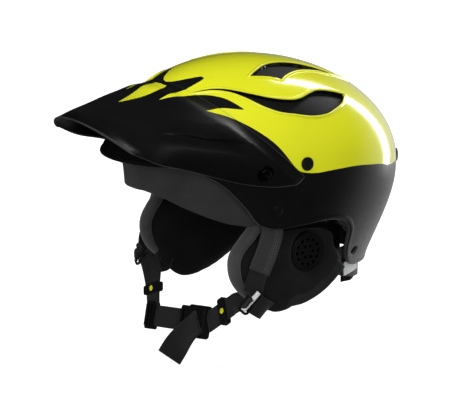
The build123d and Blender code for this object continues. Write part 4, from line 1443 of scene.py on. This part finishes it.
chin_strip("left_chin_webbing", [(87.5, -1.5), (78, -4.5), (66, -9.0), (62, -12.27), (57, -16.36), (45, -26.18), (34, -35.18)],
           (0, 0, 0, 0, 0, 0, 0), WEB_WIDTH, WEB_THICK, BLACK_WEB, "black_webbing", "chin_strap", "left_chin_strap",
           across=toward_ring(1))
chin_strip("right_chin_webbing", [(-87.5, -1.5), (-80, -6.5), (-73, -15.5), (-65, -30), (-59, -42), (-56, -48)],
           (0, 0, 0, 0, 0, 0), WEB_WIDTH, WEB_THICK, BLACK_WEB, "black_webbing", "chin_strap",
           "right_chin_strap", across=toward_ring(-1))
def tail_twist(path, side_ways):
    """Width direction that turns towards the front left over the loose end's length."""
    share = 0.9 * ease(np.linspace(-0.15, 1.1, len(path)))[:, None]
    return unit(side_ways * (1 - share) + unit([0.53, 0.61, -0.59]) * share)


chin_strip("strap_tail_end", [(27, -37), (19.5, -45.5), (10.5, -57), (3, -68), (-3.5, -79)],
           (6.3, 6.9, 7.2, 6.8, 6.0), 24.0, 1.9, BLACK_WEB, "black_webbing", "chin_strap", "strap_tail",
           across=tail_twist)


# ---------------------------------------------------------------- plain dots on the strap keepers
for label in ("left", "right"):
    keeper_low, keeper_high = box_mm(label + "_keeper")
    centre = (np.array(keeper_low) + np.array(keeper_high)) / 2
    front = FACE * np.sign(-FACE[1])
    dot = lathe(label + "_keeper_dot", centre + front * 2.6, front,
                [(2.6, -0.4), (2.6, 0.15), (2.3, 0.4), (0.1, 0.45)], [YELLOW])
    finish_piece(dot, label + "_keeper", "badge_paint")


# ---------------------------------------------------------------- carried-over CAD nodes
def dress(node, material, width=0.6, segments=3):
    """Give a CAD node its material and soft moulded edges."""
    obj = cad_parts[node]
    obj.data.materials.clear()
    obj.data.materials.append(material)
    soften_edges(obj, width, segments)


dress("buckle_socket", BUCKLE_BLACK, 0.5)
dress("buckle_plug", BUCKLE_BLACK, 0.5)
dress("ladder_lock", BUCKLE_BLACK, 0.5)
dress("left_keeper", BUCKLE_BLACK, 0.6)
dress("right_keeper", BUCKLE_BLACK, 0.6)
dress("left_ear_mesh", MESH_BLACK, 0.35)
dress("right_ear_mesh", MESH_BLACK, 0.35)
dress("nape_cradle", CRADLE_BLACK, 0.7)
dress("nape_tabs", RING_GREY, 0.5)
dress("nape_pins", NUT_STEEL, 0.3)
dress("visor_nuts", NUT_STEEL, 0.3)
dress("rear_clip", YELLOW, 0.4)
dress("nape_pad", PAD_CLOTH, 1.5, 4)
dress("adjuster_strap", BLACK_WEB, 0.4)


# ---------------------------------------------------------------- stage, light and camera
FLOOR_DROP = 14.0
FLOOR_SIZE = 9.0


def floor_material():
    """Pale matt floor that stays evenly bright towards the horizon."""
    n = Nodes("pale_floor")
    n.set(Base_Color=(0.45, 0.45, 0.45, 1.0), Roughness=0.95, Emission_Color=(1.0, 1.0, 1.0, 1.0))
    coords = n.add("ShaderNodeTexCoord")
    reach = n.add("ShaderNodeVectorMath", operation="LENGTH")
    n.link(coords, "Object", reach, "Vector")
    glow = n.value_range(reach, "Value", 0.82, 1.0)
    glow.inputs["From Max"].default_value = 2.2
    rays = n.add("ShaderNodeLightPath")
    seen = n.add("ShaderNodeMath", operation="MULTIPLY")
    n.link(glow, "Result", seen, 0)
    n.link(rays, "Is Camera Ray", seen, 1)
    n.link(seen, "Value", n.shader, "Emission Strength")
    return n.material


floor_mesh = bpy.data.meshes.new("floor")
corners = [(-FLOOR_SIZE, -FLOOR_SIZE, 0), (FLOOR_SIZE, -FLOOR_SIZE, 0), (FLOOR_SIZE, FLOOR_SIZE, 0),
           (-FLOOR_SIZE, FLOOR_SIZE, 0)]
floor_mesh.from_pydata(corners, [], [(0, 1, 2, 3)])
floor_mesh.materials.append(floor_material())
floor = bpy.data.objects.new("floor", floor_mesh)
floor.location.z = cad_low.z - FLOOR_DROP * MM
floor.visible_glossy = False
bpy.context.scene.collection.objects.link(floor)

scene = bpy.context.scene
scene.view_settings.view_transform = "Standard"
scene.view_settings.look = "None"

AZIMUTH = math.radians(56.0)
ELEVATION = math.radians(13.0)
DISTANCE = 1.7
forward = Vector((-math.sin(AZIMUTH) * math.cos(ELEVATION), math.cos(AZIMUTH) * math.cos(ELEVATION),
                  -math.sin(ELEVATION)))
camera_data = bpy.data.cameras.new("camera")
camera = bpy.data.objects.new("camera", camera_data)
scene.collection.objects.link(camera)
camera.location = -forward * DISTANCE
camera.rotation_mode = "QUATERNION"
camera.rotation_quaternion = forward.to_track_quat("-Z", "Y")
camera_data.sensor_width = 36.0
camera_data.lens = 148.2
camera_data.shift_x = -0.0684
camera_data.shift_y = -0.1247
camera_data.clip_start = 0.05
camera_data.clip_end = 50.0
scene.camera = camera

view_right = np.array([math.cos(AZIMUTH), math.sin(AZIMUTH), 0.0])
view_away = unit([forward.x, forward.y, 0.0])


def build_world():
    """White backdrop for the camera; in reflections it is bright behind the part and dark elsewhere."""
    world = bpy.data.worlds.new("studio")
    scene.world = world
    world.use_nodes = True
    tree = world.node_tree
    background = tree.nodes["Background"]
    background.inputs["Color"].default_value = (1.0, 1.0, 1.0, 1.0)
    rays = tree.nodes.new("ShaderNodeLightPath")
    coords = tree.nodes.new("ShaderNodeTexCoord")
    facing = tree.nodes.new("ShaderNodeVectorMath")
    facing.operation = "DOT_PRODUCT"
    facing.inputs[1].default_value = tuple(unit(view_away * 0.72 + view_right * 0.62 + np.array([0, 0, -0.32])))
    tree.links.new(coords.outputs["Generated"], facing.inputs[0])
    backdrop = tree.nodes.new("ShaderNodeMapRange")
    backdrop.interpolation_type = "SMOOTHSTEP"
    backdrop.inputs["From Min"].default_value = 0.62
    backdrop.inputs["From Max"].default_value = 1.0
    backdrop.inputs["To Min"].default_value = 0.012
    backdrop.inputs["To Max"].default_value = 0.75
    tree.links.new(facing.outputs["Value"], backdrop.inputs["Value"])

    def mix(a, b, factor):
        node = tree.nodes.new("ShaderNodeMix")
        node.data_type = "FLOAT"
        for socket, value in ((node.inputs["A"], a), (node.inputs["B"], b), (node.inputs["Factor"], factor)):
            if isinstance(value, float):
                socket.default_value = value
            else:
                tree.links.new(value, socket)
        return node.outputs["Result"]

    indirect = mix(0.42, backdrop.outputs["Result"], rays.outputs["Is Glossy Ray"])
    strength = mix(indirect, 1.0, rays.outputs["Is Camera Ray"])
    tree.links.new(strength, background.inputs["Strength"])


build_world()


def studio(right, away, up):
    """A place given to the camera's right, away from it and up, in metres."""
    return Vector(view_right * right + view_away * away + np.array([0, 0, 1.0]) * up)


def softbox(name, first, last, width, watts, mirrored=True, target=(0.0, 0.0, 0.0)):
    """A rectangular light from first to last, turned to face the target."""
    centre = (first + last) / 2
    light = bpy.data.lights.new(name, "AREA")
    light.shape = "RECTANGLE"
    light.size = width
    light.size_y = (last - first).length
    light.energy = watts
    obj = bpy.data.objects.new(name, light)
    obj.visible_glossy = mirrored
    scene.collection.objects.link(obj)
    y_axis = (last - first).normalized()
    z_axis = centre - Vector(target)
    z_axis = (z_axis - y_axis * z_axis.dot(y_axis)).normalized()
    x_axis = y_axis.cross(z_axis)
    rotation = Matrix((x_axis, y_axis, z_axis)).transposed()
    obj.matrix_world = Matrix.Translation(centre) @ rotation.to_4x4()
    return obj


softbox("rear_strip", studio(1.26, 1.0, -0.35), studio(0.84, 1.36, 2.3), 0.26, 26)
softbox("key", studio(-1.2, -0.4, 1.7), studio(0.2, -0.9, 1.9), 1.1, 21, mirrored=False)
softbox("front_fill", studio(-1.6, -0.9, -0.1), studio(-1.6, -0.9, 0.9), 0.7, 8, mirrored=False)
softbox("side_fill", studio(0.5, -2.1, 0.1), studio(0.5, -2.1, 1.1), 1.2, 15, mirrored=False)
softbox("peak_side", studio(-0.35, -1.7, 0.55), studio(0.75, -1.5, 0.75), 0.16, 2.2)
